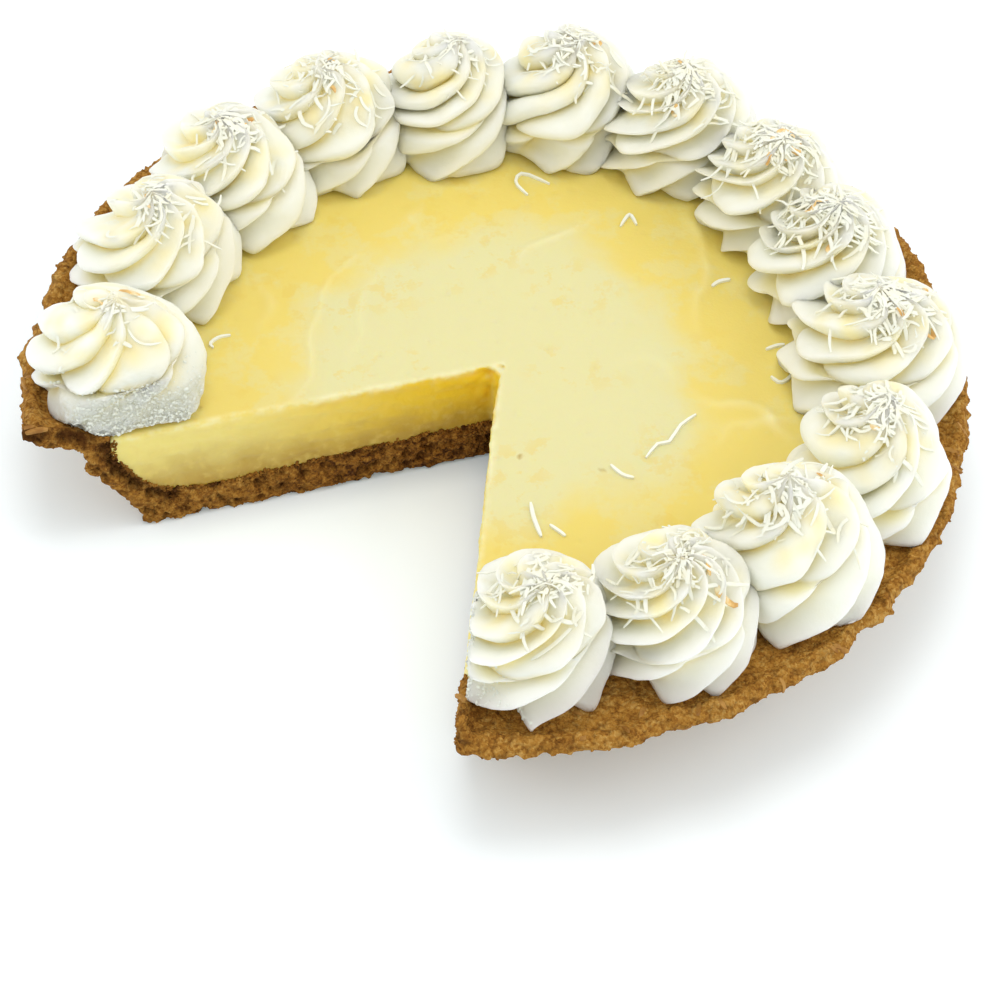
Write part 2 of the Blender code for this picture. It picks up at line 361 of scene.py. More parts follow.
@dataclass(frozen=True)
class CrumbFinish:
    """Baked biscuit crumbs: browns that change from grain to grain, with painted shade in gaps,
    pits and cuts.
    """

    grain: float = 1.7 * MM
    dark: Colour = (0.055, 0.016, 0.002)
    brown: Colour = (0.26, 0.105, 0.014)
    golden: Colour = (0.43, 0.205, 0.034)
    pale: Colour = (0.60, 0.36, 0.10)
    relief: float = 0.55 * MM
    roughness: float = 0.85
    gloss: float = 0.12

    def material(self, name: str) -> bpy.types.Material:
        """Returns the material."""
        book = Book(name)
        edge, tone = book.grains(self.grain)
        fine, fine_tone = book.grains(self.grain / 2.2)
        patch = book.noise(14 * MM)
        speck = book.noise(0.6 * MM)
        share = tone * 0.3 + fine_tone * 0.34 + patch * 0.5 + speck * 0.5 - 0.26
        # The crumbs of a cut are darker, more so near the pie's middle: painted shade.
        share = share - book.attribute("inner") * 0.26
        stops = ((0.0, self.dark), (0.3, self.brown), (0.6, self.golden), (0.95, self.pale))
        # The gaps between the grains are darkened: painted shade.
        gap = edge.between(0.45, 0.95) * 0.5
        colour = book.mix(gap, book.ramp(share, stops), self.dark)
        # Darkest in the pits and in the fold's crease: painted shade.
        book.feed(book.shader.inputs["Base Color"],
                  book.mix(book.attribute("pit") * 0.85, colour, self.dark))
        book.bump(1 - edge + (1 - fine) * 0.6 + speck * 0.6, self.relief)
        book.set(Roughness=self.roughness, Specular_IOR_Level=self.gloss)
        return book.material


@dataclass(frozen=True)
class CustardFinish:
    """Lemon custard: a smooth, soft, pale yellow that glows gold in its depth."""

    pale: Colour = (0.775, 0.62, 0.15)
    light: Colour = (0.71, 0.665, 0.34)
    gold: Colour = (0.75, 0.53, 0.06)
    straw: Colour = (0.83, 0.70, 0.21)
    amber: Colour = (0.86, 0.60, 0.03)
    smear_and_highlight: Colour = (0.84, 0.81, 0.52)
    foot_shade: Colour = (0.44, 0.27, 0.03)
    speck: Colour = (0.38, 0.21, 0.01)
    foot: float = 10 * MM
    crest: float = 30 * MM
    relief: float = 0.22 * MM
    roughness: float = 0.42
    gloss: float = 0.35
    softness: float = 0.35
    glow_depth: float = 4 * MM
    glow: Colour = (1.0, 0.7, 0.15)

    def material(self) -> bpy.types.Material:
        """Returns the material."""
        book = Book("lemon_custard")
        cloud = book.noise(24 * MM, 4)
        fleck = book.noise(6 * MM, 5, 0.6).between(0.52, 0.62)
        fleck = fleck * book.noise(26 * MM, 2).between(0.4, 0.6)
        skin = book.noise(13 * MM, 5, 0.65).between(0.49, 0.6)
        # The top is golder near the rosettes and lighter in the open: painted shade.
        open_top = (1 - book.attribute("edge") + (cloud - 0.5) * 1.2).between(0.2, 0.8)
        top = book.mix(open_top, self.pale, self.light)
        top = book.mix(skin * 0.35, top, self.light)
        top = book.mix(fleck * 0.32, top, self.gold)
        top = book.mix(book.attribute("speck") * 0.75, top, self.speck)
        # Lighter along the strokes: painted highlight on their ridges.
        top = book.mix(book.attribute("stroke") * 0.45, top, self.smear_and_highlight)
        # The cut faces run from straw to amber towards the pie's middle and to tan at their foot:
        # painted shade, and at the foot painted reflection of the crust.
        rich = book.mix(book.attribute("middle"), self.straw, self.amber)
        blotch = book.noise(9 * MM, 4).between(0.3, 0.75)
        rise = book.height() + (blotch - 0.5) * 3.5 * MM
        face = book.mix(rise.between(self.foot, self.crest), self.foot_shade, rich)
        face = book.mix(book.noise(3 * MM, 3).between(0.5, 0.75) * 0.35, face, self.pale)
        # depth puts the faces' colour on the cut faces, and a little of it on the top near the
        # rosettes as painted shade.
        colour = book.mix(book.attribute("depth"), top, face)
        # The upper edge of a cut is lighter: the knife's smear, and painted highlight.
        ragged = book.noise(4 * MM, 3).between(0.3, 0.7)
        colour = book.mix(book.attribute("lip") * ragged * 0.6, colour, self.smear_and_highlight)
        book.feed(book.shader.inputs["Base Color"], colour)
        book.bump(book.noise(1.6 * MM, 4, 0.55), self.relief, 0.5)
        book.set(Roughness=self.roughness, Specular_IOR_Level=self.gloss,
                 Subsurface_Weight=self.softness, Subsurface_Scale=self.glow_depth,
                 Subsurface_Radius=self.glow)
        return book.material


@dataclass(frozen=True)
class CreamFinish:
    """Whipped cream: white with warm painted shade in its creases. Loose curds aren't soft."""

    soft: bool = True
    white: Colour = (0.82, 0.845, 0.76)
    crease_shade: Colour = (0.93, 0.80, 0.40)
    curd_hollow_shade: Colour = (0.74, 0.73, 0.56)
    relief: float = 0.9 * MM
    roughness: float = 0.55
    gloss: float = 0.3
    glow_depth: float = 9 * MM
    glow: Colour = (1.0, 1.0, 1.0)

    def material(self) -> bpy.types.Material:
        """Returns the material."""
        book = Book("whipped_cream" if self.soft else "cream_curds")
        depth = book.attribute("depth")
        sliced = book.attribute("sliced")
        warm = book.noise(9 * MM, 3).between(0.4, 0.8) * 0.08
        curds = book.noise(1.3 * MM, 5, 0.75)
        # depth paints warm shade into the creases, the coil's seam and under the coconut; warm
        # adds a random warm tone.
        colour = book.mix(depth * 0.85 * (1 - sliced * 0.8) + warm, self.white, self.crease_shade)
        # On the sliced side the hollows between curds are greyer: painted shade.
        colour = book.mix(sliced * curds.between(0.56, 0.38) * 0.8, colour, self.curd_hollow_shade)
        book.feed(book.shader.inputs["Base Color"], colour)
        lumps = book.noise(2.2 * MM, 4, 0.6) * 0.25 + curds * sliced * 2.0
        book.bump(lumps, self.relief, 0.6)
        book.set(Roughness=self.roughness, Specular_IOR_Level=self.gloss,
                 Subsurface_Weight=float(self.soft), Subsurface_Scale=self.glow_depth,
                 Subsurface_Radius=self.glow)
        return book.material


@dataclass(frozen=True)
class CoconutFinish:
    """Dried coconut: white strips, or strips toasted from gold to brown."""

    toast: Toast
    white: Colour = (0.84, 0.85, 0.75)
    cream: Colour = (0.89, 0.83, 0.58)
    gold: Colour = (0.80, 0.53, 0.20)
    brown: Colour = (0.50, 0.23, 0.05)
    amber: Colour = (0.45, 0.23, 0.05)
    umber: Colour = (0.27, 0.115, 0.018)
    relief: float = 0.1 * MM
    roughness: float = 0.6
    gloss: float = 0.25

    def material(self) -> bpy.types.Material:
        """Returns the material."""
        book = Book(f"coconut_{self.toast.value}")
        patch = book.noise(3.5 * MM, 3)
        if self.toast is Toast.WHITE:
            colour = book.mix(patch.between(0.4, 0.8) * 0.6, self.white, self.cream)
        elif self.toast is Toast.BAKED:
            colour = book.mix(patch.between(0.35, 0.65), self.umber, self.amber)
        else:
            stops = ((0.3, self.cream), (0.5, self.gold), (0.75, self.brown))
            colour = book.ramp(patch, stops)
        book.feed(book.shader.inputs["Base Color"], colour)
        book.bump(book.noise(0.5 * MM, 3), self.relief, 0.4)
        book.set(Roughness=self.roughness, Specular_IOR_Level=self.gloss)
        return book.material


@dataclass(frozen=True)
class FloorFinish:
    """A plain pale floor that glows a little, as if lit from below."""

    white: Colour = (0.92, 0.955, 0.965)
    grey: Colour = (0.75, 0.75, 0.75)
    glow: Colour = (0.6, 0.9, 1.0)
    glow_strength: float = 0.12

    def material(self) -> bpy.types.Material:
        """Returns the material."""
        book = Book("pale_floor")
        shade = book.noise(0.3) * 0.02
        book.feed(book.shader.inputs["Base Color"], book.mix(shade, self.white, self.grey))
        book.set(Roughness=0.9, Specular_IOR_Level=0.1, Emission_Color=self.glow,
                 Emission_Strength=self.glow_strength)
        return book.material


class Bench:
    """The workbench: it adds, shapes, joins and finishes meshes with Blender's tools."""

    @staticmethod
    def clear() -> None:
        """Deselects everything."""
        if bpy.context.mode != "OBJECT":
            bpy.ops.object.mode_set(mode="OBJECT")
        bpy.ops.object.select_all(action="DESELECT")

    @staticmethod
    def hold(item: bpy.types.Object) -> None:
        """Makes one object the only selected and the active one."""
        Bench.clear()
        item.select_set(True)
        bpy.context.view_layer.objects.active = item

    @staticmethod
    def named(name: str) -> bpy.types.Object:
        """Names the object that was just added, and its mesh.

        Returns:
            The object.
        """
        item = bpy.context.active_object
        item.name = name
        item.data.name = name
        return item

    @staticmethod
    def sculpt(item: bpy.types.Object, move: Callable[[Vector], Vector]) -> None:
        """Moves every point of a mesh.

        Args:
            item: The object.
            move: Takes a point's place and returns its new one.
        """
        for point in item.data.vertices:
            point.co = move(point.co.copy())
        item.data.update()

    @staticmethod
    def apply(item: bpy.types.Object, kind: str, **settings: object) -> None:
        """Adds a modifier and applies it.

        Args:
            item: The object.
            kind: The modifier's type.
            settings: The modifier's settings.
        """
        Bench.hold(item)
        made = item.modifiers.new(kind.lower(), kind)
        for name, setting in settings.items():
            setattr(made, name, setting)
        bpy.ops.object.modifier_apply(modifier=made.name)

    @staticmethod
    def join(items: Sequence[bpy.types.Object], name: str) -> bpy.types.Object:
        """Joins objects into the first one.

        Returns:
            The joined object.
        """
        Bench.hold(items[0])
        for item in items[1:]:
            item.select_set(True)
        bpy.ops.object.join()
        return Bench.named(name)

    @staticmethod
    def spun(name: str, section: Sequence[Place], steps: int) -> bpy.types.Object:
        """Spins a closed section round the axis, from the front cut to the left cut.

        Args:
            name: The object's name.
            section: The radius and height of its corners, in order.
            steps: How many steps the spin has.

        Returns:
            A closed object, with a flat face at each cut.
        """
        Bench.clear()
        bpy.ops.mesh.primitive_circle_add(vertices=len(section), fill_type="NGON")
        item = Bench.named(name)
        for point, (radius, height) in zip(item.data.vertices, section):
            point.co = polar(radius, PIE_START, height)
        bpy.ops.object.mode_set(mode="EDIT")
        bpy.ops.mesh.select_all(action="SELECT")
        bpy.ops.mesh.spin(steps=steps, angle=PIE_END - PIE_START, center=(0, 0, 0),
                          axis=(0, 0, -1))
        bpy.ops.mesh.select_all(action="SELECT")
        bpy.ops.mesh.remove_doubles(threshold=0.02 * MM)
        bpy.ops.mesh.normals_make_consistent(inside=False)
        bpy.ops.object.mode_set(mode="OBJECT")
        return item

    @staticmethod
    def number(item: bpy.types.Object,
               **rules: Callable[[bpy.types.MeshVertex], float]) -> None:
        """Gives every point of a mesh the numbers that its material reads.

        Args:
            item: The object.
            rules: For each number's name, what takes a point and returns the number.
        """
        for name, rule in rules.items():
            layer = item.data.attributes.new(name, "FLOAT", "POINT")
            for point, number in zip(item.data.vertices, layer.data):
                number.value = rule(point)

    @staticmethod
    def tree(items: Iterable[bpy.types.Object]) -> BVHTree:
        """Makes a tree of all faces of some objects, to cast rays at.

        Args:
            items: The objects.

        Returns:
            The tree.
        """
        corners: list[Vector] = []
        sides: list[tuple[int, ...]] = []
        for item in items:
            first = len(corners)
            corners.extend(point.co.copy() for point in item.data.vertices)
            sides.extend(tuple(first + corner for corner in face.vertices)
                         for face in item.data.polygons)
        return BVHTree.FromPolygons(corners, sides)

    @staticmethod
    def thin(item: bpy.types.Object, ratio: float, hidden: Callable[[Vector], bool]) -> None:
        """Takes faces away where other pieces hide them.

        Args:
            item: The object.
            ratio: The share of all faces that is to stay, where enough are hidden.
            hidden: Takes a point's place and says whether it is hidden.
        """
        group = item.vertex_groups.new(name="hidden")
        unseen = [point.index for point in item.data.vertices if hidden(point.co)]
        group.add(unseen, 1.0, "REPLACE")
        Bench.apply(item, "DECIMATE", ratio=ratio, vertex_group="hidden",
                    vertex_group_factor=1.0)

    @staticmethod
    def many(name: str, points: list[Vector], faces: list[tuple[int, ...]]) -> bpy.types.Object:
        """Makes one object of many small joined meshes.

        Args:
            name: The object's name.
            points: All points.
            faces: All faces, as numbers of points.

        Returns:
            The object.
        """
        mesh = bpy.data.meshes.new(name)
        mesh.from_pydata(points, [], faces)
        mesh.update()
        item = bpy.data.objects.new(name, mesh)
        bpy.context.scene.collection.objects.link(item)
        return item

    @staticmethod
    def dress(item: bpy.types.Object, material: bpy.types.Material, nodes: Iterable[str] = (),
              slot: Optional[str] = None, sharp: float = 180.0) -> None:
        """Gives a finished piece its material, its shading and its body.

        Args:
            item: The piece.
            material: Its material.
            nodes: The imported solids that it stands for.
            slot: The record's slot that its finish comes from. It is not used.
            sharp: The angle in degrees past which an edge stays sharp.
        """
        item.data.materials.clear()
        item.data.materials.append(material)
        Bench.hold(item)
        bpy.ops.object.shade_smooth_by_angle(angle=math.radians(sharp))
        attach(item, BODY)
        if nodes:
            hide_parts(*nodes)
        log.info("%s: %d triangles", item.name,
                 sum(len(face.vertices) - 2 for face in item.data.polygons))


@dataclass(frozen=True)
class Lamp:
    """A square softbox that faces the pie, with its sizes in metres and its power in watts."""

    name: str
    place: tuple[float, float, float]
    power: float
    size: float = 0.5

    def hang(self) -> None:
        """Adds the lamp to the scene."""
        lamp = bpy.data.lights.new(self.name, "AREA")
        lamp.size = self.size
        lamp.energy = self.power
        item = bpy.data.objects.new(self.name, lamp)
        bpy.context.scene.collection.objects.link(item)
        item.location = self.place
        aim = Vector((0, 0, 0.03)) - Vector(self.place)
        item.rotation_euler = aim.to_track_quat("-Z", "Y").to_euler()


@dataclass
class Studio:
    """The floor, the lights and the camera at the photograph's angle."""

    # The camera: degrees down and of roll, metres from its aim, and mm of its lens.
    down: float = 48.86
    roll: float = 2.71
    distance: float = 0.700
    aim: tuple[float, float, float] = (2.3 * MM, -31.9 * MM, 30 * MM)
    sensor: float = 36.0
    focal: float = 95.36
    floor_size: float = 6.0
    air: float = 0.92
    lamps: tuple[Lamp, ...] = (
        Lamp("softbox", (-0.03, 0.08, 1.3), 3.4),
        Lamp("side_right", (0.85, 0.05, 0.65), 1.9),
        Lamp("side_left", (-0.88, 0.0, 0.65), 0.9),
    )

    def build(self) -> None:
        """Sets up the whole studio."""
        self.camera()
        self.floor()
        for lamp in self.lamps:
            lamp.hang()
        world = bpy.data.worlds.new("studio_air")
        bpy.context.scene.world = world
        world.use_nodes = True
        background = world.node_tree.nodes["Background"]
        background.inputs["Color"].default_value = (1, 1, 1, 1)
        background.inputs["Strength"].default_value = self.air
        bpy.context.scene.view_settings.view_transform = "Standard"
        log.info("studio: camera, floor and lights")

    def camera(self) -> None:
        """Places the camera."""
        down, roll = math.radians(self.down), math.radians(self.roll)
        ahead = Vector((0, math.cos(down), -math.sin(down)))
        right = Vector((1, 0, 0))
        up = right.cross(ahead)
        aim = Vector((0, 0, self.aim[2])) + right * self.aim[0] + up * self.aim[1]
        across = right * math.cos(roll) + up * math.sin(roll)
        upward = up * math.cos(roll) - right * math.sin(roll)
        turned = Matrix((across, upward, -ahead)).transposed().to_4x4()
        turned.translation = aim - ahead * self.distance
        lens = bpy.data.cameras.new("camera")
        lens.sensor_width = self.sensor
        lens.lens = self.focal
        item = bpy.data.objects.new("camera", lens)
        bpy.context.scene.collection.objects.link(item)
        item.matrix_world = turned
        bpy.context.scene.camera = item

    def floor(self) -> None:
        """Lays the floor."""
        Bench.clear()
        bpy.ops.mesh.primitive_plane_add(size=self.floor_size)
        item = Bench.named("floor")
        item.data.materials.append(FloorFinish().material())


@dataclass
class Crust:
    """The crumb crust: a sloping wall under a flat rim, pressed from crumbs."""

    rim_radius: float = 124.8 * MM
    rim_under: float = 112 * MM
    base_radius: float = 95.6 * MM
    wall_top: float = 103 * MM
    wall_foot: float = 92 * MM
    rim_thickness: float = 4.4 * MM
    lip_radius: float = 120.6 * MM
    lip_slope: float = 1.8 * MM
    lip_rise: float = 1.5 * MM
    floor_middle: float = 13.4 * MM
    end_lift: float = 7.5 * MM
    end_arc: float = 11.0
    rim_crag: float = 1.6 * MM
    wall_crag: float = 0.9 * MM
    crag_spacing: float = 13 * MM
    nick: float = 0.9 * MM
    nick_spacing: float = 3.6 * MM
    steps: int = 150
    lumps: int = 8500
    lump_sizes: Place = (0.6 * MM, 1.6 * MM)
    cut_lumps: int = 1900
    cut_lump_sizes: Place = (0.8 * MM, 1.9 * MM)
    pit: float = 2.4 * MM
    voxel: float = 0.90 * MM
    kept_faces: float = 0.56
    inset: float = 0.7 * MM
    grains: int = 7500
    cut_grains: int = 1500
    seam_grains: int = 1100
    seam_sizes: Place = (0.35 * MM, 0.95 * MM)
    grain_sizes: Place = (0.25 * MM, 0.75 * MM)
    # The shares of a cut's crumbs that lie on its base, its wall and its rim.
    base_share: float = 0.66
    wall_share: float = 0.2
    rim_share: float = 0.14
    # The fold of crust at the left cut, as radius and height in mm.
    fold: tuple[Place, ...] = (
        (126, 42.8), (119, 40.6), (113.7, 38.4), (110, 36.6), (106.5, 35.2), (104.6, 33),
        (104.4, 29), (103.2, 26), (99.2, 20), (97.2, 16.6), (93.5, 12.6), (88, 9.6),
    )

    def lift(self, angle: float) -> float:
        """Returns how far the rim is bent up where the left cut ends it."""
        share = smooth_step(math.degrees(angle), LEFT_CUT - self.end_arc, LEFT_CUT)
        return self.end_lift * share

    def rise(self, radius: float, angle: float) -> float:
        """Returns how far the rim's top lies above the seat of the rosettes."""
        lip_start = self.lip_radius - self.lip_slope
        lip = self.lip_rise * smooth_step(radius, lip_start, self.lip_radius)
        lift = self.lift(angle) * smooth_step(radius, self.wall_top, self.rim_radius)
        return lip + lift

    def crag(self, angle: float, seed: float) -> float:
        """Returns a broken number between about -1 and 1 for a place on the crust."""
        place = polar(self.rim_radius, angle) / self.crag_spacing + Vector((0, 0, seed))
        return noise.noise(place) + 0.6 * noise.noise(place * 2.3)

    def outside(self, inset: float = 0.0) -> list[Place]:
        """Lists the outer section, from the base's edge up to the seat.

        Args:
            inset: How far the section lies inside the crust's faces.

        Returns:
            The radius and height of each corner.
        """
        under = SEAT_HEIGHT - self.rim_thickness
        return [
            (self.base_radius - inset, inset),
            (blend(self.base_radius, self.rim_under, 0.28) - inset, 0.33 * under),
            (blend(self.base_radius, self.rim_under, 0.56) - inset, 0.68 * under),
            (self.rim_under - inset / 2, under + inset),
            (self.rim_radius - 2.2 * MM - inset, under + inset),
            (self.rim_radius - inset, under + 2.4 * MM),
            (self.rim_radius - 2.2 * MM - inset, SEAT_HEIGHT + self.lip_rise - inset),
            (self.lip_radius, SEAT_HEIGHT + self.lip_rise - inset),
            (self.lip_radius - self.lip_slope, SEAT_HEIGHT - inset),
            (self.wall_top, SEAT_HEIGHT - inset),
        ]

    def inside(self) -> list[Place]:
        """Lists the inner section, from the wall round its foot to the middle of the base."""
        return [
            (102.8 * MM, 29.0 * MM),
            (102.1 * MM, 26.4 * MM),
            (95.9 * MM, 16.9 * MM),
            (93.6 * MM, 14.6 * MM),
            (89.6 * MM, 12.0 * MM),
            (79 * MM, 10 * MM),
            (43 * MM, 12 * MM),
            (0, self.floor_middle),
        ]

    def wall(self, height: float) -> float:
        """Returns the radius of the wall's inner face at a height."""
        line = [(self.wall_top, SEAT_HEIGHT)] + self.inside()[:6]
        for (near, high), (far, low) in zip(line, line[1:]):
            if height >= low:
                return blend(far, near, min((height - low) / (high - low), 1))
        return line[-1][0]

    def bent(self, point: Vector) -> Vector:
        """Moves a point of the even crust to its place in the uneven one."""
        radius = math.hypot(point.x, point.y)
        angle = pie_angle(point)
        out = smooth_step(radius, self.rim_under, self.rim_radius)
        low = smooth_step(radius, self.wall_foot, self.base_radius + 4 * MM)
        radius += self.rim_crag * self.crag(angle, 3) * out
        nick = abs(noise.noise(polar(self.rim_radius, angle) / self.nick_spacing))
        radius -= self.nick * nick * out
        radius += self.wall_crag * self.crag(angle, 11) * low * (1 - out)
        lift = self.lift(angle) * smooth_step(radius, self.wall_top, self.rim_radius)
        return polar(radius, angle, point.z + lift)

    def body(self) -> bpy.types.Object:
        """Makes the solid that the crumbs are pressed on."""
        section = [(0, self.inset)] + self.outside(self.inset) + self.inside()
        item = Bench.spun("crumb_crust", section, self.steps)
        Bench.sculpt(item, self.bent)
        return item

    def skin_spots(self, draw: random.Random, count: int) -> list[Spot]:
        """Picks even random places on the rim, the wall and the base's edge.

        Args:
            draw: The source of random numbers.
            count: How many places.

        Returns:
            Each place with its outward direction.
        """
        outline = [(78 * MM, 0.0)] + self.outside()
        lengths = [math.dist(a, b) * (a[0] + b[0]) / 2 for a, b in zip(outline, outline[1:])]
        spots = []
        for _ in range(count):
            span = draw.choices(range(len(lengths)), lengths)[0]
            share = draw.random()
            near, far = outline[span], outline[span + 1]
            along = Vector((far[0] - near[0], far[1] - near[1])).normalized()
            angle = draw.uniform(PIE_START, PIE_END)
            point = polar(blend(near[0], far[0], share), angle, blend(near[1], far[1], share))
            spots.append((self.bent(point), polar(along.y, angle, -along.x)))
        return spots

    def cut_spot(self, draw: random.Random) -> Spot:
        """Picks a random place on one of the two cut faces of the crust."""
        side = draw.choice((Side.LEFT, Side.FRONT))
        share, through = draw.random(), draw.random()
        if share < self.base_share:
            radius = self.base_radius * math.sqrt(share / self.base_share)
            top = blend(self.floor_middle, 10 * MM, min(radius / (79 * MM), 1))
            height = top * through
        elif share < 1 - self.rim_share:
            up = (share - self.base_share) / self.wall_share
            height = blend(11 * MM, SEAT_HEIGHT - 3 * MM, up)
            radius = self.wall(height) + 7 * MM * through
            height -= 3 * MM * through
        else:
            along = (share - (1 - self.rim_share)) / self.rim_share
            radius = blend(self.wall_top, self.rim_radius - 2 * MM, along)
            height = SEAT_HEIGHT - self.rim_thickness * (1 - through)
        return self.bent(polar(radius, cut_angle(side), height)), cut_normal(side)

    def seam_spot(self, draw: random.Random) -> Spot:
        """Picks a place on a cut face where the crumbs meet the custard."""
        side = draw.choice((Side.LEFT, Side.FRONT))
        line = [(self.wall_top - 1 * MM, SEAT_HEIGHT - 1.5 * MM)] + self.inside()
        lengths = [math.dist(a, b) for a, b in zip(line, line[1:])]
        span = draw.choices(range(len(lengths)), lengths)[0]
        share = draw.random()
        radius = blend(line[span][0], line[span + 1][0], share) + draw.gauss(0, 0.4) * MM
        height = blend(line[span][1], line[span + 1][1], share) + draw.gauss(0.1, 0.5) * MM
        return polar(radius, cut_angle(side), height), cut_normal(side)

    @staticmethod
    def crumbs(name: str, spots: Sequence[Spot], sizes: Place, sink: Place,
               draw: random.Random) -> bpy.types.Object:
        """Joins many small broken crumbs.

        Args:
            name: The object's name.
            spots: A place and an outward direction for each.
            sizes: The smallest and largest half width.
            sink: The least and the most that they lie in the surface, as a share of their
                half width.
            draw: The source of random numbers.

        Returns:
            One object of all crumbs.
        """
        Bench.clear()
        bpy.ops.mesh.primitive_ico_sphere_add(subdivisions=1, radius=1)
        seed = Bench.named("crumb")
        corners = [point.co.copy() for point in seed.data.vertices]
        sides = [tuple(face.vertices) for face in seed.data.polygons]
        bpy.data.objects.remove(seed)
        points: list[Vector] = []
        faces: list[tuple[int, ...]] = []
        for place, normal in spots:
            size = draw.uniform(*sizes) * draw.uniform(0.75, 1.0)
            size *= 0.6 if normal.z > 0.85 else 1.0
            stretch = Vector([draw.uniform(*span) for span in CRUMB_SPANS])
            turn = Matrix.Rotation(draw.uniform(0, math.tau), 3, "Z")
            turn = turn @ Matrix.Rotation(draw.uniform(0, math.tau), 3, "X")
            middle = place - normal * size * draw.uniform(*sink)
            first = len(points)
            for corner in corners:
                rough = corner * draw.uniform(0.72, 1.12)
                shaped = turn @ Vector([reach * share for reach, share in zip(rough, stretch)])
                shaped = middle + shaped * size
                shaped.z = max(shaped.z, 0.0)
                points.append(shaped)
            faces.extend(tuple(corner + first for corner in side) for side in sides)
        return Bench.many(name, points, faces)

    def build(self) -> bpy.types.Object:
        """Makes the crust and its loose crumbs.

        Returns:
            The crust.
        """
        draw = random.Random(41)
        finish = CrumbFinish()
        body = self.body()
        lumps = self.crumbs("lumps", self.skin_spots(draw, self.lumps), self.lump_sizes,
                            (0.2, 0.7), draw)
        cut_spots = [self.cut_spot(draw) for _ in range(self.cut_lumps)]
        cut_lumps = self.crumbs("cut_lumps", cut_spots, self.cut_lump_sizes, (0.2, 1.1), draw)
        crust = Bench.join([body, lumps, cut_lumps], "crumb_crust")
        Bench.apply(crust, "REMESH", mode="VOXEL", voxel_size=self.voxel, use_smooth_shade=True)
        Bench.thin(crust, self.kept_faces, self.hidden)
        Bench.sculpt(crust, self.broken)
        self.mark(crust)
        Bench.dress(crust, finish.material("crumb_crust"), ["crust"], "crumb_crust")
        spots = self.skin_spots(draw, self.grains)
        spots += [self.cut_spot(draw) for _ in range(self.cut_grains)]
        spots = self.on_surface(crust, spots)
        grains = self.crumbs("loose_crumbs", spots, self.grain_sizes, (0.0, 0.5), draw)
        spots = [self.seam_spot(draw) for _ in range(self.seam_grains)]
        seam = self.crumbs("seam_crumbs", spots, self.seam_sizes, (0.3, 0.9), draw)
        grains = Bench.join([grains, seam], "loose_crumbs")
        self.mark(grains)
        Bench.dress(grains, finish.material("loose_crumbs"), slot="crumb_crust", sharp=50)
        return crust

    def mark(self, item: bpy.types.Object) -> None:
        """Tells the crumbs' material where to paint shade: in a pit and on a cut face."""
        Bench.number(item, pit=lambda point: self.pitted(point.co)[1],
                     inner=lambda point: self.inner(point.co))

    def pitted(self, point: Vector) -> tuple[Vector, float]:
        """Breaks a pit into a cut face.

        Args:
            point: A place on the crust.

        Returns:
            Its new place, and how deep in a pit it lies, from 0 to 1, which the colour paints as
            shade.
        """
        near = smooth_step(past_cut(point), -4.5 * MM, -1.2 * MM)
        if near == 0:
            return point, 0.0
        side = nearest_cut(point)
        normal = cut_normal(side)
        flat = point - normal * point.dot(normal)
        rough = noise.noise(flat / (3.3 * MM)) + 0.7 * noise.noise(flat / (1.5 * MM))
        pit = max(rough - 0.02, 0)
        # Along the fold at the left cut the pit runs as a crease, which the colour darkens as
        # painted shade.
        if side is Side.LEFT:
            place = (flat.xy.length / MM, flat.z / MM)
            reach = min(beside(place, *span)[1] for span in zip(self.fold, self.fold[1:]))
            pit += max(0.85 + 0.9 * rough, 0.2) * math.exp(-(reach / 1.5) ** 2)
        pit = min(pit * near, 1.0)
        return point - normal * pit * self.pit, min(pit * 1.6, 1.0)

    def broken(self, point: Vector) -> Vector:
        """Returns a point's place with its pit, kept on the floor or above it."""
        place, _ = self.pitted(point)
        return Vector((place.x, place.y, max(place.z, 0.0)))

    def inner(self, point: Vector) -> float:
        """Returns how much painted shade darkens a cut's crumbs at a point, from 0 to 1."""
        near = smooth_step(past_cut(point), -6 * MM, -3 * MM)
        return near * blend(0.35, 1.0, smooth_step(math.hypot(point.x, point.y), 90 * MM, 45 * MM))

    @staticmethod
    def on_surface(crust: bpy.types.Object, spots: Sequence[Spot]) -> list[Spot]:
        """Sets places down on the finished crust.

        Args:
            crust: The crust.
            spots: Places near it, each with an outward direction.

        Returns:
            The places where a crumb can lie.
        """
        tree = Bench.tree([crust])
        made = []
        for place, normal in spots:
            hit, facing, _, _ = tree.ray_cast(place + normal * 4 * MM, -normal, 9 * MM)
            hidden = normal.z > 0.85 and math.hypot(place.x, place.y) < 106 * MM
            if hit is not None and not hidden:
                made.append((hit, facing))
        return made

    def hidden(self, point: Vector) -> bool:
        """Says whether the custard or the floor hides a place on the crust."""
        radius = math.hypot(point.x, point.y)
        under = point.z < 1.0 * MM and radius < self.base_radius - 6 * MM
        above = point.z > 9 * MM and radius < self.wall(point.z) + 0.5 * MM
        return (under or above) and past_cut(point) <= -5 * MM


@dataclass(eq=False)
class Stroke:
    """A faint swipe on the custard's top: its middle line, height and width, all in mm."""

    line: tuple[Place, ...]
    height: float
    width: float
    steps: int = 20

    def __post_init__(self) -> None:
        """Smooths the line and makes its height uneven."""
        self.path = []
        for step in range(self.steps + 1):
            x, y = spline(self.line, step / self.steps)
            wave = noise.noise_vector(Vector((x, y, 3)) / 7) * 1.8
            self.path.append((x + wave.x, y + wave.y))
        self.heights = []
        for step, (x, y) in enumerate(self.path):
            fade = math.sin(math.pi * (step + 0.6) / (self.steps + 1.2))
            uneven = 1 + 0.8 * noise.noise(Vector((x, y, 0)) / 9)
            self.heights.append(self.height * fade * uneven)

    def relief(self, x: float, y: float) -> float:
        """Returns how far the stroke lifts the custard at a place, in metres."""
        best = 0.0
        spans = zip(self.path, self.path[1:], self.heights, self.heights[1:])
        for near, far, start, end in spans:
            if abs(x - near[0]) + abs(y - near[1]) > FAR_OFF:
                continue
            share, reach = beside((x, y), near, far)
            best = max(best, blend(start, end, share) * math.exp(-(reach / self.width) ** 2))
        return best * MM


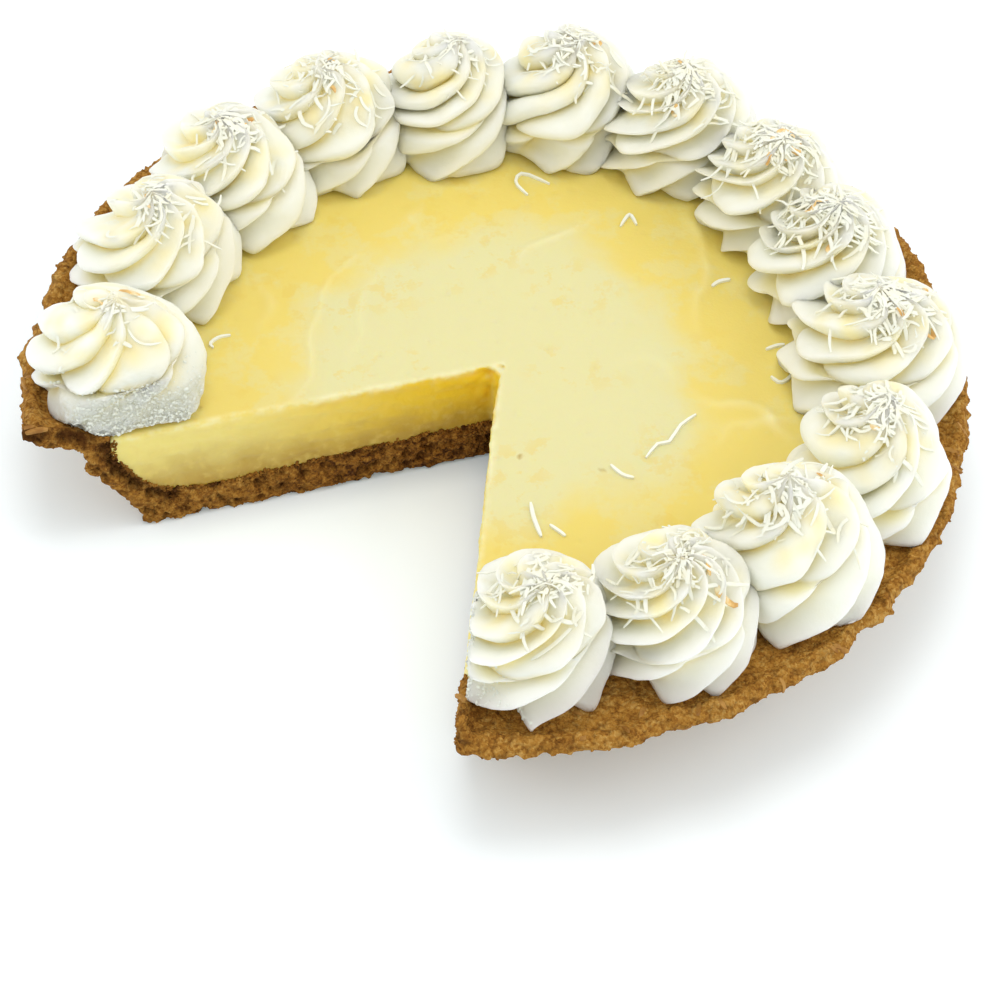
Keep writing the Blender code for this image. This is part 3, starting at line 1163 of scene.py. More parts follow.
@dataclass
class Custard:
    """The lemon custard that fills the crust and shows in both cuts."""

    crust: Crust
    top: float = 34.5 * MM
    swell: float = 0.35 * MM
    sink: float = 0.25 * MM
    edge_round: float = 0.8 * MM
    steps: int = 150
    voxel: float = 0.9 * MM
    kept_faces: float = 0.62
    pits: int = 110
    pit_depth: float = 0.45 * MM
    # Brown specks on the top, in mm: the middle and the half width of each.
    specks: tuple[tuple[Place, float], ...] = (
        ((6.9, -31.4), 0.75), ((27.9, -34.9), 0.6), ((-76.2, -19.7), 0.6),
    )
    strokes: tuple[Stroke, ...] = (
        Stroke(((-38, 42), (-46, 30), (-50, 12), (-49, -4), (-54, -20)), 0.45, 0.9),
        Stroke(((-30, 42), (-36, 26), (-37, 8), (-42, -8)), 0.25, 1.2),
        Stroke(((3, 39), (8, 47), (16, 52), (27, 61)), 0.5, 1.2),
        Stroke(((46, 67), (54, 54), (56, 38), (52, 26), (54, 15)), 0.45, 1.4),
        Stroke(((51, -4), (58, -10), (66, -9), (72, -15), (77, -23)), 0.6, 1.5),
        Stroke(((56, -24), (63, -17), (71, -15), (81, -11)), 0.45, 1.6),
        Stroke(((-22, 62), (-26, 55), (-20, 49), (-12, 50)), 0.3, 1.5),
        Stroke(((30, 2), (36, 6), (44, 4), (48, -4)), 0.25, 1.8),
        Stroke(((-66, 30), (-62, 20), (-64, 8)), 0.3, 1.4),
    )

    def level(self, point: Vector) -> float:
        """Returns the height of the custard's uneven top."""
        place = Vector((point.x, point.y, 0)) / (42 * MM) + Vector((0, 0, 5))
        return self.top + self.swell * noise.noise(place)

    def section(self) -> list[Place]:
        """Lists the section, from the middle of its floor round to the middle of its top."""
        edge_height = self.top - self.edge_round
        edge = self.crust.wall_top
        floor = [(radius, height - self.sink) for radius, height in reversed(self.crust.inside())]
        return floor + [(edge, edge_height), (edge - self.edge_round, self.top), (0, self.top)]

    def shaped(self, point: Vector, dents: Sequence[tuple[Vector, float]]) -> Vector:
        """Gives one point of the custard its relief.

        Args:
            point: The point on the even custard.
            dents: The middle and the size of each small dent.

        Returns:
            The point's place.
        """
        top = smooth_step(point.z, self.top - 2.5 * MM, self.top)
        near_cut = smooth_step(past_cut(point), -1.5 * MM, -0.3 * MM)
        if top > 0:
            rise = self.level(point) - self.top
            rise += self.swipe(point)
            rise += 0.14 * MM * noise.noise(point / (7 * MM))
            for middle, size in dents:
                reach = math.hypot(point.x - middle.x, point.y - middle.y) / size
                if reach < 1.6:
                    rise -= self.pit_depth * math.exp(-3 * reach * reach)
            point.z += rise * top
        if near_cut > 0:
            lip = smooth_step(point.z, self.top - 1.2 * MM, self.top)
            give = min(self.knifed(point), 0.12 * MM) - 0.2 * MM * lip
            point += cut_normal(nearest_cut(point)) * give * near_cut
            point.z -= 0.1 * MM * lip * near_cut
        return point

    @staticmethod
    def knifed(point: Vector) -> float:
        """Returns how far the knife's smears stand out of a cut face, in metres.

        Args:
            point: A place on the face. Near the pie's middle, lumps are torn out too.
        """
        rough = noise.noise(point / (2.1 * MM))
        rough += 0.6 * noise.noise(point / (0.9 * MM) + Vector((7, 0, 0)))
        smear = Vector((point.x / (9 * MM), point.y / (9 * MM), point.z / (2.5 * MM)))
        depth = 0.28 * MM * rough + 0.45 * MM * noise.noise(smear) - 0.3 * MM
        tip = smooth_step(math.hypot(point.x, point.y), 9 * MM, 2 * MM)
        tip *= smooth_step(point.z, 20 * MM, 30 * MM)
        return depth - 1.6 * MM * tip * max(noise.noise(point / (2.6 * MM)) + 0.3, 0)

    def depth(self, point: Vector, normal: Vector, ring: "RosetteRing") -> float:
        """Returns how much of the cut faces' colour shows at a point, from 0 to 1: on a face, and
        as painted shade near the rosettes.

        Args:
            point: The place on the custard.
            normal: The way that the surface faces there.
            ring: The rosettes, near which the custard gets painted shade.
        """
        face = 1 - smooth_step(normal.z, 0.45, 0.85)
        # Painted shade on the top near the rosettes' feet.
        shade = smooth_step(ring.gap(point), 10 * MM, -3 * MM) * 0.35
        return max(face, shade)

    def build(self, ring: "RosetteRing") -> None:
        """Makes the custard.

        Args:
            ring: The rosettes round it.
        """
        draw = random.Random(52)
        item = Bench.spun("lemon_custard", self.section(), self.steps)
        Bench.apply(item, "REMESH", mode="VOXEL", voxel_size=self.voxel, use_smooth_shade=True)
        dents = []
        for _ in range(self.pits):
            angle = draw.uniform(PIE_START, PIE_END)
            middle = polar(92 * MM * math.sqrt(draw.random()), angle)
            dents.append((middle, draw.uniform(0.9, 2.0) * MM))
        Bench.sculpt(item, lambda point: self.shaped(point, dents))
        Bench.thin(item, self.kept_faces, self.hidden)
        # Painted light: edge and depth paint shade near the rosettes, middle deeper in the wedge,
        # and lip and stroke paint highlights.
        Bench.number(
            item,
            depth=lambda point: self.depth(point.co, point.normal, ring),
            edge=lambda point: smooth_step(ring.gap(point.co), 42 * MM, 2 * MM),
            middle=lambda point: smooth_step(point.co.xy.length, 80 * MM, 15 * MM),
            lip=lambda point: self.lip(point.co),
            stroke=lambda point: self.swipe(point.co) / MM,
            speck=lambda point: self.speck(point.co),
        )
        Bench.dress(item, CustardFinish().material(), ["filling"], "lemon_custard")

    def speck(self, point: Vector) -> float:
        """Returns how much of a brown speck shows at a point."""
        spot = (point.x / MM, point.y / MM)
        reach = min(math.dist(spot, place) / size for place, size in self.specks)
        return smooth_step(reach, 1.3, 0.5)

    def swipe(self, point: Vector) -> float:
        """Returns how far the strokes lift the custard's top at a point, in metres."""
        return sum(stroke.relief(point.x / MM, point.y / MM) for stroke in self.strokes)

    def lip(self, point: Vector) -> float:
        """Returns how much of the lighter upper edge of a cut shows at a point: the knife's smear
        and painted highlight.
        """
        near = smooth_step(past_cut(point), -2.6 * MM, -0.6 * MM)
        return near * smooth_step(point.z, self.top - 2.2 * MM, self.top - 0.6 * MM)

    def hidden(self, point: Vector) -> bool:
        """Says whether the crust hides a place on the custard."""
        return point.z < self.top - 2 * MM and past_cut(point) <= -3 * MM


# The mound that every rosette follows, from its foot to below the peak: reach, height,
# groove and twist, as shares.
MOUND_ROWS = (
    (0.96, 0.00, 1.25, 0.00),
    (1.00, 0.09, 1.20, 0.02),
    (1.00, 0.23, 1.05, 0.09),
    (0.97, 0.38, 1.00, 0.19),
    (0.89, 0.52, 0.95, 0.32),
    (0.77, 0.65, 0.88, 0.47),
    (0.61, 0.77, 0.76, 0.63),
    (0.42, 0.88, 0.58, 0.80),
    (0.20, 0.96, 0.32, 0.93),
    (0.00, 1.00, 0.00, 1.00),
)

# What makes a rosette uneven: the size and the strength of each soft push, in mm.
WOBBLES = ((9, 0.7), (19, 1.2))

# One ridge from its crease over its broad face, round its lip and back under it: the
# place across the ridge and the depth below the mound. A leaf has a sharp lip, a roll is
# puffed up, and a claw is what a ridge ends in at the foot.
LEAF_ROWS = (
    (0.000, 1.00), (0.110, 0.99), (0.220, 0.95), (0.330, 0.87), (0.440, 0.74),
    (0.540, 0.58), (0.640, 0.40), (0.730, 0.21), (0.800, 0.05), (0.860, 0.01),
    (0.920, 0.18), (0.970, 0.50), (1.000, 0.84), (1.000, 1.00),
)
ROLL_ROWS = (
    (0.000, 1.00), (0.050, 0.80), (0.120, 0.58), (0.210, 0.38), (0.320, 0.21),
    (0.440, 0.09), (0.570, 0.02), (0.700, 0.00), (0.820, 0.06), (0.920, 0.20),
    (0.985, 0.42), (1.010, 0.66), (1.010, 0.86), (1.000, 1.00),
)
CLAW_ROWS = (
    (0.000, 1.00), (0.070, 0.90), (0.150, 0.76), (0.230, 0.60), (0.310, 0.43),
    (0.390, 0.25), (0.460, 0.09), (0.530, 0.00), (0.600, 0.06), (0.680, 0.22),
    (0.760, 0.42), (0.850, 0.64), (0.930, 0.84), (1.000, 1.00),
)


@dataclass
class Rosette:
    """One piped rosette: ridges of a star nozzle that wind up to a soft peak."""

    number: int
    angle: float
    distance: float
    reach: float
    height: float
    ridges: int = 8
    turns: float = 0.62
    toes: float = 1.0
    puff: float = 0.5
    groove: float = 6.8 * MM
    # How far a ridge's lip is torn, and where across the ridge the lip lies.
    tear: float = 0.75 * MM
    lip_place: float = 0.84
    lip_width: float = 0.12
    # The crease between the lower and the upper coil, and the bulge above it.
    seam: float = 2.6 * MM
    seam_width: float = 0.035
    bulge: float = 1.1 * MM
    bulge_place: float = 0.09
    bulge_width: float = 0.06
    coil_foot: float = 0.16
    coil_rise: float = 0.46
    # The shares of the rise from where to where each form comes in.
    roll_rise: Place = (0.06, 0.4)
    claw_rise: Place = (0.3, 0.05)
    toe_rise: Place = (0.0, 0.3)
    tear_rise: Place = (0.95, 0.6)
    knife_rise: Place = (0.5, 0.25)
    lump_rise: Place = (0.6, 0.85)
    crown_rise: Place = (0.45, 0.7)
    hook_rise: Place = (0.86, 1.0)
    # The mesh, and how far its foot lies in the custard.
    columns: int = 32
    rings: int = 92
    foot_share: float = 0.07
    sunk: float = 0.3 * MM
    # The side that the knife slices: its rounding, where its grain fades out, its curds.
    cut_round: float = 2.2 * MM
    cut_top: Place = (SEAT_HEIGHT + 16 * MM, SEAT_HEIGHT + 8 * MM)
    curds: int = 1500
    curd_sizes: Place = (0.4 * MM, 0.9 * MM)
    planes: list[tuple[Vector, float]] = field(default_factory=list)

    def __post_init__(self) -> None:
        """Draws what is uneven about this rosette."""
        draw = random.Random(100 + self.number)
        self.centre = polar(self.distance, math.radians(self.angle))
        self.start = draw.uniform(0, math.tau)
        self.twist = math.tau * self.turns * draw.uniform(0.9, 1.1)
        self.lean = polar(draw.uniform(0.5, 2.4) * MM, draw.uniform(0, math.tau))
        self.oval = draw.uniform(0.01, 0.04)
        self.oval_turn = draw.uniform(0, math.tau)
        widths = [draw.uniform(0.75, 1.3) for _ in range(self.ridges)]
        total = sum(widths)
        self.edges = [sum(widths[:count]) / total for count in range(self.ridges + 1)]
        self.depths = [draw.uniform(0.75, 1.25) for _ in range(self.ridges)]
        self.rolls = [min(max(self.puff + draw.uniform(-0.25, 0.25), 0), 1)
                      for _ in range(self.ridges)]
        self.coil = math.radians(draw.uniform(30, 150))
        self.hook = polar(draw.uniform(1.0, 3.2) * MM, draw.uniform(0, math.tau))
        self.seed = Vector((self.number * 7.3, 1.7, 3.1))
        self.mounds: dict[float, tuple[list[float], Vector]] = {}
        self.teeth: dict[float, Tooth] = {}

    def mound(self, rise: float) -> tuple[list[float], Vector]:
        """Finds the mound at a share of the rise.

        Args:
            rise: From 0 at the foot to 1 at the peak.

        Returns:
            The reach, height, groove and twist, and the way the mound runs there.
        """
        key = round(rise, 5)
        if key not in self.mounds:
            near, far = spline(MOUND_ROWS, rise - 0.01), spline(MOUND_ROWS, rise + 0.01)
            slope = Vector(((far[0] - near[0]) * self.reach, (far[1] - near[1]) * self.height))
            slope = slope.normalized() if slope.length > 0 else Vector((0, 1))
            self.mounds[key] = spline(MOUND_ROWS, rise), slope
        return self.mounds[key]

    def tooth(self, turn: float) -> Tooth:
        """Finds the place on the ridges at a turn.

        Args:
            turn: The turn in radians, from 0 to a full turn.

        Returns:
            The ridge's number, the share of the way round its section, and the place
            there on a leaf, on a roll and on a claw.
        """
        key = round(turn, 5)
        if key not in self.teeth:
            place = (turn / math.tau % 1.0) * self.ridges
            ridge = min(int(place), self.ridges - 1)
            part = place - ridge
            forms = (spline(rows, part) for rows in (LEAF_ROWS, ROLL_ROWS, CLAW_ROWS))
            self.teeth[key] = ridge, part, *forms
        return self.teeth[key]

    def point(self, rise: float, turn: float) -> tuple[Vector, float]:
        """Returns the surface point at a share of the rise and a turn.

        Args:
            rise: From 0 at the foot to 1 at the peak.
            turn: The turn in radians.

        Returns:
            The point, and how much painted shade it takes, from 0 to 1: deep in a crease, in the
            coil's seam and on the crown.
        """
        (reach, height, groove, twist), slope = self.mound(rise)
        wave = noise.noise(self.seed + polar(1.4, turn, rise * 3.0))
        across, depth, own, torn = self.ridge(rise, turn)
        toes = blend(self.toes, 1.0, smooth_step(rise, *self.toe_rise))
        cut = self.groove * groove * toes * own * (1 + 0.4 * wave) * depth
        cut += torn
        turned = across + (self.start + self.twist * twist + 0.2 * wave)
        step, fade = self.step(rise, turned)
        seam = math.exp(-(step / self.seam_width) ** 2) * fade
        bulge = math.exp(-((step - self.bulge_place) / self.bulge_width) ** 2)
        cut += self.seam * seam - self.bulge * bulge * fade
        cut *= 1 - 0.55 * self.sliced(turned) * smooth_step(rise, *self.knife_rise)
        turned += 0.45 * math.tau / self.ridges * smooth_step(step, -0.025, 0.015) * fade
        stretch = 1 + self.oval * math.cos(2 * (turned - self.oval_turn))
        radius = self.reach * reach * stretch
        place = self.centre + polar(radius, turned, self.height * height)
        cut += 0.16 * MM * noise.noise(place / (2.6 * MM))
        rough = noise.noise(place / (5.5 * MM))
        cut += 0.8 * MM * rough * smooth_step(rise, *self.lump_rise)
        radius = max(radius - slope.y * cut, 0.0)
        level = self.height * height + slope.x * cut
        place = self.centre + self.lean * height + polar(radius, turned, SEAT_HEIGHT + level)
        place += self.hook * smooth_step(rise, *self.hook_rise)
        for size, push in WOBBLES:
            place += noise.noise_vector(place / (size * MM)) * push * MM
        place += self.curdled(place, turned)
        # How much warm painted shade the colour takes: deep in a crease and in the coil's seam.
        part = self.tooth(turn)[1]
        off = min(part / 0.17, (1 - part) / 0.07)
        crease = (0.8 * math.exp(-off * off) + 0.2 * depth) * min(groove, 1.0)
        # Warm painted shade on the crown, where the coconut heaps lie.
        crown = smooth_step(rise, *self.crown_rise) * (0.5 + 0.8 * rough)
        return place, min(max(crease, 0.9 * seam, crown, 0.0), 1.0)

    def ridge(self, rise: float, turn: float) -> tuple[float, float, float, float]:
        """Finds the place on a ridge: a claw at the foot, then a leaf or a roll.

        Args:
            rise: From 0 at the foot to 1 at the peak.
            turn: The turn in radians.

        Returns:
            The place's own turn, its depth as a share, how deep the ridge's crease is, and
            how far its lip is torn, in metres.
        """
        ridge, part, leaf, roll, claw = self.tooth(turn)
        after = (ridge + 1) % self.ridges
        edge = smooth_step(part, 0.75, 1.0)
        soft = blend(self.rolls[ridge], self.rolls[after], edge)
        soft *= smooth_step(rise, *self.roll_rise)
        clawed = smooth_step(rise, *self.claw_rise)
        across, depth = (blend(blend(*pair, soft), last, clawed)
                         for pair, last in zip(zip(leaf, roll), claw))
        width = self.edges[ridge + 1] - self.edges[ridge]
        lip = math.exp(-((part - self.lip_place) / self.lip_width) ** 2) * (1 - 0.6 * soft)
        tear = noise.noise(self.seed * 2 + Vector((rise * 24, ridge * 5.1, 0)))
        tear += 0.8 * noise.noise(self.seed + Vector((rise * 56, ridge * 3.7, 2)))
        torn = self.tear * tear * lip * smooth_step(rise, *self.tear_rise)
        own = blend(self.depths[ridge], self.depths[after], edge)
        return math.tau * (self.edges[ridge] + width * across), depth, own, torn

    def step(self, rise: float, turned: float) -> tuple[float, float]:
        """Finds the place beside the crease between the lower and the upper coil.

        Args:
            rise: From 0 at the foot to 1 at the peak.
            turned: The way that the place faces, in radians.

        Returns:
            The rise above the crease, and how strong the crease is there.
        """
        share = (turned - self.coil) / math.tau % 1.0
        wave = 0.03 * noise.noise(self.seed + polar(1.6, turned, 9))
        fade = smooth_step(share, 0.0, 0.14) * smooth_step(share, 1.0, 0.86)
        return rise - (self.coil_foot + self.coil_rise * share + wave), fade

    def sliced(self, turned: float) -> float:
        """Returns how far a way faces the left cut, from 0 to 1."""
        if self.number > 0:
            return 0.0
        return smooth_step(polar(1, turned).dot(self.knife), 0.25, 0.75)

    @property
    def knife(self) -> Optional[Vector]:
        """The outward normal of the cut that slices the rosette, or None."""
        return next((normal for normal, give in self.planes if give == 0), None)

    def cut_face(self, place: Vector) -> float:
        """Returns how much of the knife's rough face shows at a place, from 0 to 1."""
        turned = math.atan2(place.y - self.centre.y, place.x - self.centre.x)
        return self.sliced(turned) * smooth_step(place.z, *self.cut_top)

    def curdled(self, place: Vector, turned: float) -> Vector:
        """Returns how the cream beside a cut is broken up by the knife.

        Args:
            place: The point.
            turned: The way that it faces, in radians.
        """
        near = self.sliced(turned) * smooth_step(place.z, *self.cut_top)
        if near == 0:
            return Vector()
        rough = noise.noise(place / (4 * MM)) - 1.3 * noise.voronoi(place / (1.9 * MM))[0][0]
        return polar(0.9 * MM * rough * near, turned)

    def drawn_in(self, point: Vector, normal: Vector, by: float) -> Vector:
        """Draws a point towards the rosette's axis.

        Args:
            point: The point.
            normal: The direction that counts.
            by: How far the point comes back against that direction, in metres.

        Returns:
            Its new place.
        """
        reach = (point - self.centre).dot(normal)
        middle = Vector((self.centre.x, self.centre.y, point.z))
        return point + (middle - point) * (by / reach)

    def held(self, point: Vector) -> Vector:
        """Keeps a point on its side of the neighbours and the cuts.

        Args:
            point: The free point.

        Returns:
            Its place, with the knife's grain where a cut slices the rosette.
        """
        for normal, give in self.planes:
            over = point.dot(normal)
            if give > 0:
                if over > 0:
                    kept = give * (1 - math.exp(-over / give))
                    point = self.drawn_in(point, normal, over - kept)
            elif over > -self.cut_round:
                beyond = over + self.cut_round
                kept = self.cut_round * (1 - math.exp(-beyond / self.cut_round))
                point = self.drawn_in(point, normal, beyond - kept + 0.1 * MM)
                grain = noise.voronoi(point / (1.5 * MM))[0][0]
                rough = 0.9 * grain + 0.8 * abs(noise.noise(point / (3.4 * MM)))
                near = smooth_step(beyond, 0, 1.5 * self.cut_round)
                point = point - normal * rough * 1.4 * MM * near
        return point

    def crumbled(self, item: bpy.types.Object) -> bpy.types.Object:
        """Scatters the curds that the knife leaves on a sliced side.

        Args:
            item: The rosette.

        Returns:
            The curds.
        """
        normal = self.knife
        along = Vector((-normal.y, normal.x, 0))
        tree = Bench.tree([item])
        draw = random.Random(300 + self.number)
        spots = []
        for _ in range(self.curds):
            place = self.centre + along * draw.uniform(-1, 1) * self.reach
            place.z = SEAT_HEIGHT + 16 * MM * draw.random() ** 1.3
            hit, facing, _, _ = tree.ray_cast(place + normal * 40 * MM, -normal)
            if hit is not None and facing.dot(normal) > draw.uniform(0.3, 0.7):
                spots.append((hit, facing))
        return Crust.crumbs("curds", spots, self.curd_sizes, (0.35, 0.9), draw)

    def build(self, crust: Crust) -> bpy.types.Object:
        """Makes the rosette.

        Args:
            crust: The crust that it sits on.

        Returns:
            The rosette.
        """
        Bench.clear()
        bpy.ops.mesh.primitive_uv_sphere_add(segments=self.ridges * self.columns,
                                             ring_count=self.rings, radius=1)
        item = Bench.named(f"piped_rosette_{self.number + 1:02d}")
        depths = []
        for vertex in item.data.vertices:
            share = math.acos(min(max(-vertex.co.z, -1.0), 1.0)) / math.pi
            turn = math.atan2(vertex.co.y, vertex.co.x) % math.tau
            rise = max((share - self.foot_share) / (1 - self.foot_share), 0.0)
            point, depth = self.point(rise, turn)
            if share < self.foot_share:
                foot = Vector((self.centre.x, self.centre.y, SEAT_HEIGHT))
                point = foot.lerp(point, share / self.foot_share)
            point = self.held(point)
            radius = math.hypot(point.x, point.y)
            seat = SEAT_HEIGHT - 0.1 * MM + crust.rise(radius, pie_angle(point))
            if radius < crust.wall_top:
                seat = SEAT_HEIGHT - self.sunk
            point.z = max(point.z, seat)
            vertex.co = point
            depths.append(depth)
        # depth carries painted shade; sliced marks the knife's rough face, whose hollows get
        # painted shade.
        Bench.number(item, depth=lambda point: depths[point.index],
                     sliced=lambda point: self.cut_face(point.co))
        item.data.update()
        return item


@dataclass
class RosetteRing:
    """The fourteen rosettes, from the left cut round the back to the front cut."""

    give: float = 1.5 * MM
    forms: list[Rosette] = field(default_factory=list)

    def __post_init__(self) -> None:
        """Lists the rosettes and the planes between them."""
        # Angle, distance, reach, height, ridges, turns, toes and puff.
        sizes = (
            (187.0, 98, 23.5, 31, 7, 0.30, 0.5, 0.6), (163.5, 97, 23.5, 31, 8, 0.36, 0.6, 0.3),
            (142.0, 96, 23.5, 31, 8, 0.40, 0.5, 0.4), (121.5, 97, 23.5, 32, 8, 0.40, 0.4, 0.5),
            (101.0, 92, 21.0, 33, 6, 0.62, 0.3, 0.95), (81.5, 98, 22.0, 33, 8, 0.40, 0.3, 0.8),
            (61.3, 99, 22.0, 32, 9, 0.50, 0.5, 0.3), (40.5, 97, 22.5, 32, 9, 0.46, 0.5, 0.4),
            (22.0, 95, 22.0, 31, 9, 0.44, 0.5, 0.4), (1.5, 98, 24.5, 31, 8, 0.44, 0.5, 0.5),
            (338.0, 102, 22.0, 31, 7, 0.44, 0.6, 0.6), (317.5, 99, 24.0, 35, 7, 0.44, 0.8, 0.65),
            (297.5, 97, 22.5, 31, 9, 0.44, 1.0, 0.25), (276.5, 97, 22.0, 31, 8, 0.46, 1.1, 0.35),
        )
        self.forms = [Rosette(number, angle, distance * MM, reach * MM, height * MM, *rest)
                      for number, (angle, distance, reach, height, *rest) in enumerate(sizes)]
        for form in self.forms:
            for step, turn in ((-1, 90), (1, -90)):
                other = form.number + step
                if 0 <= other < len(self.forms):
                    half = math.radians(self.forms[other].angle - form.angle)
                    half = math.atan2(math.sin(half), math.cos(half)) / 2
                    edge = math.radians(form.angle) + half
                    form.planes.append((polar(1, edge + math.radians(turn)), self.give))
                else:
                    side = Side.LEFT if step < 0 else Side.FRONT
                    form.planes.append((cut_normal(side), 0.0))

    def gap(self, point: Vector) -> float:
        """Returns how far a place is from the nearest rosette, seen from above."""
        return min((point.xy - form.centre.xy).length - form.reach for form in self.forms)

    def build(self, crust: Crust) -> list[bpy.types.Object]:
        """Makes every rosette.

        Args:
            crust: The crust that they sit on.

        Returns:
            The rosettes.
        """
        material = CreamFinish().material()
        made, curds = [], []
        for form in self.forms:
            item = form.build(crust)
            if form.knife is not None:
                curds.append(form.crumbled(item))
            Bench.dress(item, material, [f"rosette_{form.number + 1:02d}"], "whipped_cream")
            made.append(item)
        crumbled = Bench.join(curds, "cream_curds")
        Bench.dress(crumbled, CreamFinish(soft=False).material(), slot="whipped_cream")
        return made


@dataclass
class Shred:
    """One curved strip of coconut: its middle line, the way it faces and its sizes."""

    path: list[Vector]
    up: Vector
    width: float
    thickness: float
    narrow: float = 0.5
    chamfer: float = 0.8

    def mesh(self, first: int) -> tuple[list[Vector], list[tuple[int, ...]]]:
        """Makes the strip.

        Args:
            first: The number of its first point.

        Returns:
            Its points and faces.
        """
        points: list[Vector] = []
        last = len(self.path) - 1
        for place, point in enumerate(self.path):
            along = self.path[min(place + 1, last)] - self.path[max(place - 1, 0)]
            side = along.cross(self.up).normalized()
            rise = side.cross(along).normalized()
            taper = 1 - self.narrow * abs(2 * place / last - 1) ** 4
            side *= self.width / 2 * taper
            rise *= self.thickness / 2
            points.extend((point - side - rise, point + side - rise,
                           point + side * self.chamfer + rise,
                           point - side * self.chamfer + rise))
        faces = [(first, first + 1, first + 2, first + 3)]
        end = first + 4 * last
        faces.append((end + 3, end + 2, end + 1, end))
        for place in range(last):
            near = first + 4 * place
            for corner in range(4):
                after = (corner + 1) % 4
                faces.append((near + after, near + corner, near + corner + 4, near + after + 4))
        return points, faces


@dataclass
class Coconut:
    """The shreds: heaps on the rosettes and a few strips on the custard."""

    custard: Custard
    crust: Crust
    per_rosette: int = 85
    shares: tuple[float, ...] = (
        0.3, 0.6, 0.8, 0.8, 0.5, 0.9, 1.3, 1.7, 1.7, 1.4, 0.9, 0.8, 0.9, 0.8,
    )
    in_crust: int = 420
    lengths: Place = (4 * MM, 13 * MM)
    widths: Place = (0.6 * MM, 1.3 * MM)
    thickness: float = 0.24 * MM
    golden_share: float = 0.03
    lifted_share: float = 0.05
    parts: int = 8
    # Where rays start, the greatest height of a shred, and how far a shred looks for the
    # cream above and below itself.
    sky: float = 90 * MM
    highest: float = 71.2 * MM
    probe: float = 9 * MM
    deepest: float = 3 * MM
    # The middle lines of the strips on the custard, in mm.
    on_custard: tuple[tuple[Place, ...], ...] = (
        ((12, 72), (4.5, 76), (2.5, 72), (6, 67)),
        ((32, 56), (34.5, 61), (36.5, 57)),
        ((57, 34), (59, 36), (62, 37)),
        ((71, 11), (74, 12.6), (76, 13)),
        ((79, 8), (77.5, 2), (74.5, -1), (72, 1)),
        ((52, -14), (48, -18), (45, -24), (42, -25), (39, -30)),
        ((30, -33), (33, -36), (36, -37)),
        ((10, -47), (11, -52), (13, -58)),
        ((15, -54), (17.5, -56), (19, -57.5)),
        ((-75, 2), (-76, 3.5), (-74, 6), (-71, 7)),
    )

    def laid(self, tree: BVHTree, draw: random.Random, form: Rosette,
             flake: bool) -> Optional[Shred]:
        """Lays one shred on a rosette.

        Args:
            tree: The cream's surface.
            draw: The source of random numbers.
            form: The rosette.
            flake: Whether it is a short, wide flake.

        Returns:
            The shred, or None where it finds no place.
        """
        spread = form.reach * (0.05 + 0.58 * draw.random() ** 1.3)
        spot = form.centre + form.lean + polar(spread, draw.uniform(0, math.tau))
        start, normal, _, _ = tree.ray_cast(Vector((spot.x, spot.y, self.sky)), DOWN)
        if start is None or start.z < SEAT_HEIGHT + 8 * MM:
            return None
        normal = (normal + Vector((0, 0, 0.8))).normalized()
        along = self.any_way(normal, draw)
        if draw.random() < self.lifted_share:
            along = (along + normal * draw.uniform(0.2, 0.5)).normalized()
        length = draw.uniform(*self.lengths) * (0.5 if flake else 1)
        bow, curl = draw.uniform(0.05, 0.2) * length, draw.uniform(-0.4, 0.4) * length
        path = self.curved(start, along, normal, length, curl, bow, self.parts)
        heap = (1 - spread / form.reach) * draw.uniform(0, 0.2) * MM
        heap += draw.uniform(-0.3, -0.05) * MM
        path = self.settled(tree, path, normal, heap)
        if not self.clear_of_cuts(path) or max(point.z for point in path) > self.highest:
            return None
        width = draw.uniform(*self.widths) * (2.2 if flake else 1)
        return Shred(path, normal, width, self.thickness * draw.uniform(0.7, 1.2))

    @staticmethod
    def any_way(normal: Vector, draw: random.Random) -> Vector:
        """Returns a random direction square to a normal."""
        along = normal.orthogonal().normalized()
        along.rotate(Matrix.Rotation(draw.uniform(0, math.tau), 3, normal))
        return along

    @staticmethod
    def curved(middle: Vector, along: Vector, normal: Vector, length: float, curl: float,
               bow: float, parts: int, sink: float = 0.0) -> list[Vector]:
        """Draws a strip's middle line.

        Args:
            middle: The line's middle.
            along: The way that it runs.
            normal: The way that it faces.
            length: Its length.
            curl: How far its ends turn aside.
            bow: How far its ends bend down.
            parts: How many parts it has.
            sink: How far all of it lies below the middle.

        Returns:
            The points of the line.
        """
        side = along.cross(normal).normalized()
        path = []
        for place in range(parts + 1):
            way = 2 * place / parts - 1
            path.append(middle + along * (length * way / 2) + side * (curl * way * way)
                        - normal * (sink + bow * way * way))
        return path

    def settled(self, tree: BVHTree, path: Sequence[Vector], normal: Vector,
                heap: float) -> list[Vector]:
        """Lets a strip down on the cream, so that it follows what lies under it.

        Args:
            tree: The cream's surface.
            path: The strip's middle line.
            normal: The way that it faces.
            heap: How far it stays above the cream, below 0 for in it.

        Returns:
            The line as it lies.
        """
        heights = []
        for point in path:
            hit, _, _, reach = tree.ray_cast(point + normal * self.probe, -normal)
            height = self.probe - reach if hit is not None else -self.deepest
            heights.append(max(height, -self.deepest))
        level = sorted(heights)[-3]
        settled = []
        for place, point in enumerate(path):
            near = heights[max(place - 1, 0):place + 2]
            settled.append(point + normal * (blend(sum(near) / len(near), level, 0.08) + heap))
        return settled

    @staticmethod
    def clear_of_cuts(path: Sequence[Vector]) -> bool:
        """Says whether a shred stays out of the missing wedge."""
        angle = math.degrees(math.atan2(path[0].y, path[0].x)) % 360
        side = Side.LEFT if angle < 230 else Side.FRONT
        return all(point.dot(cut_normal(side)) < -1 * MM or abs(angle - side.value) > 60
                   for point in path)

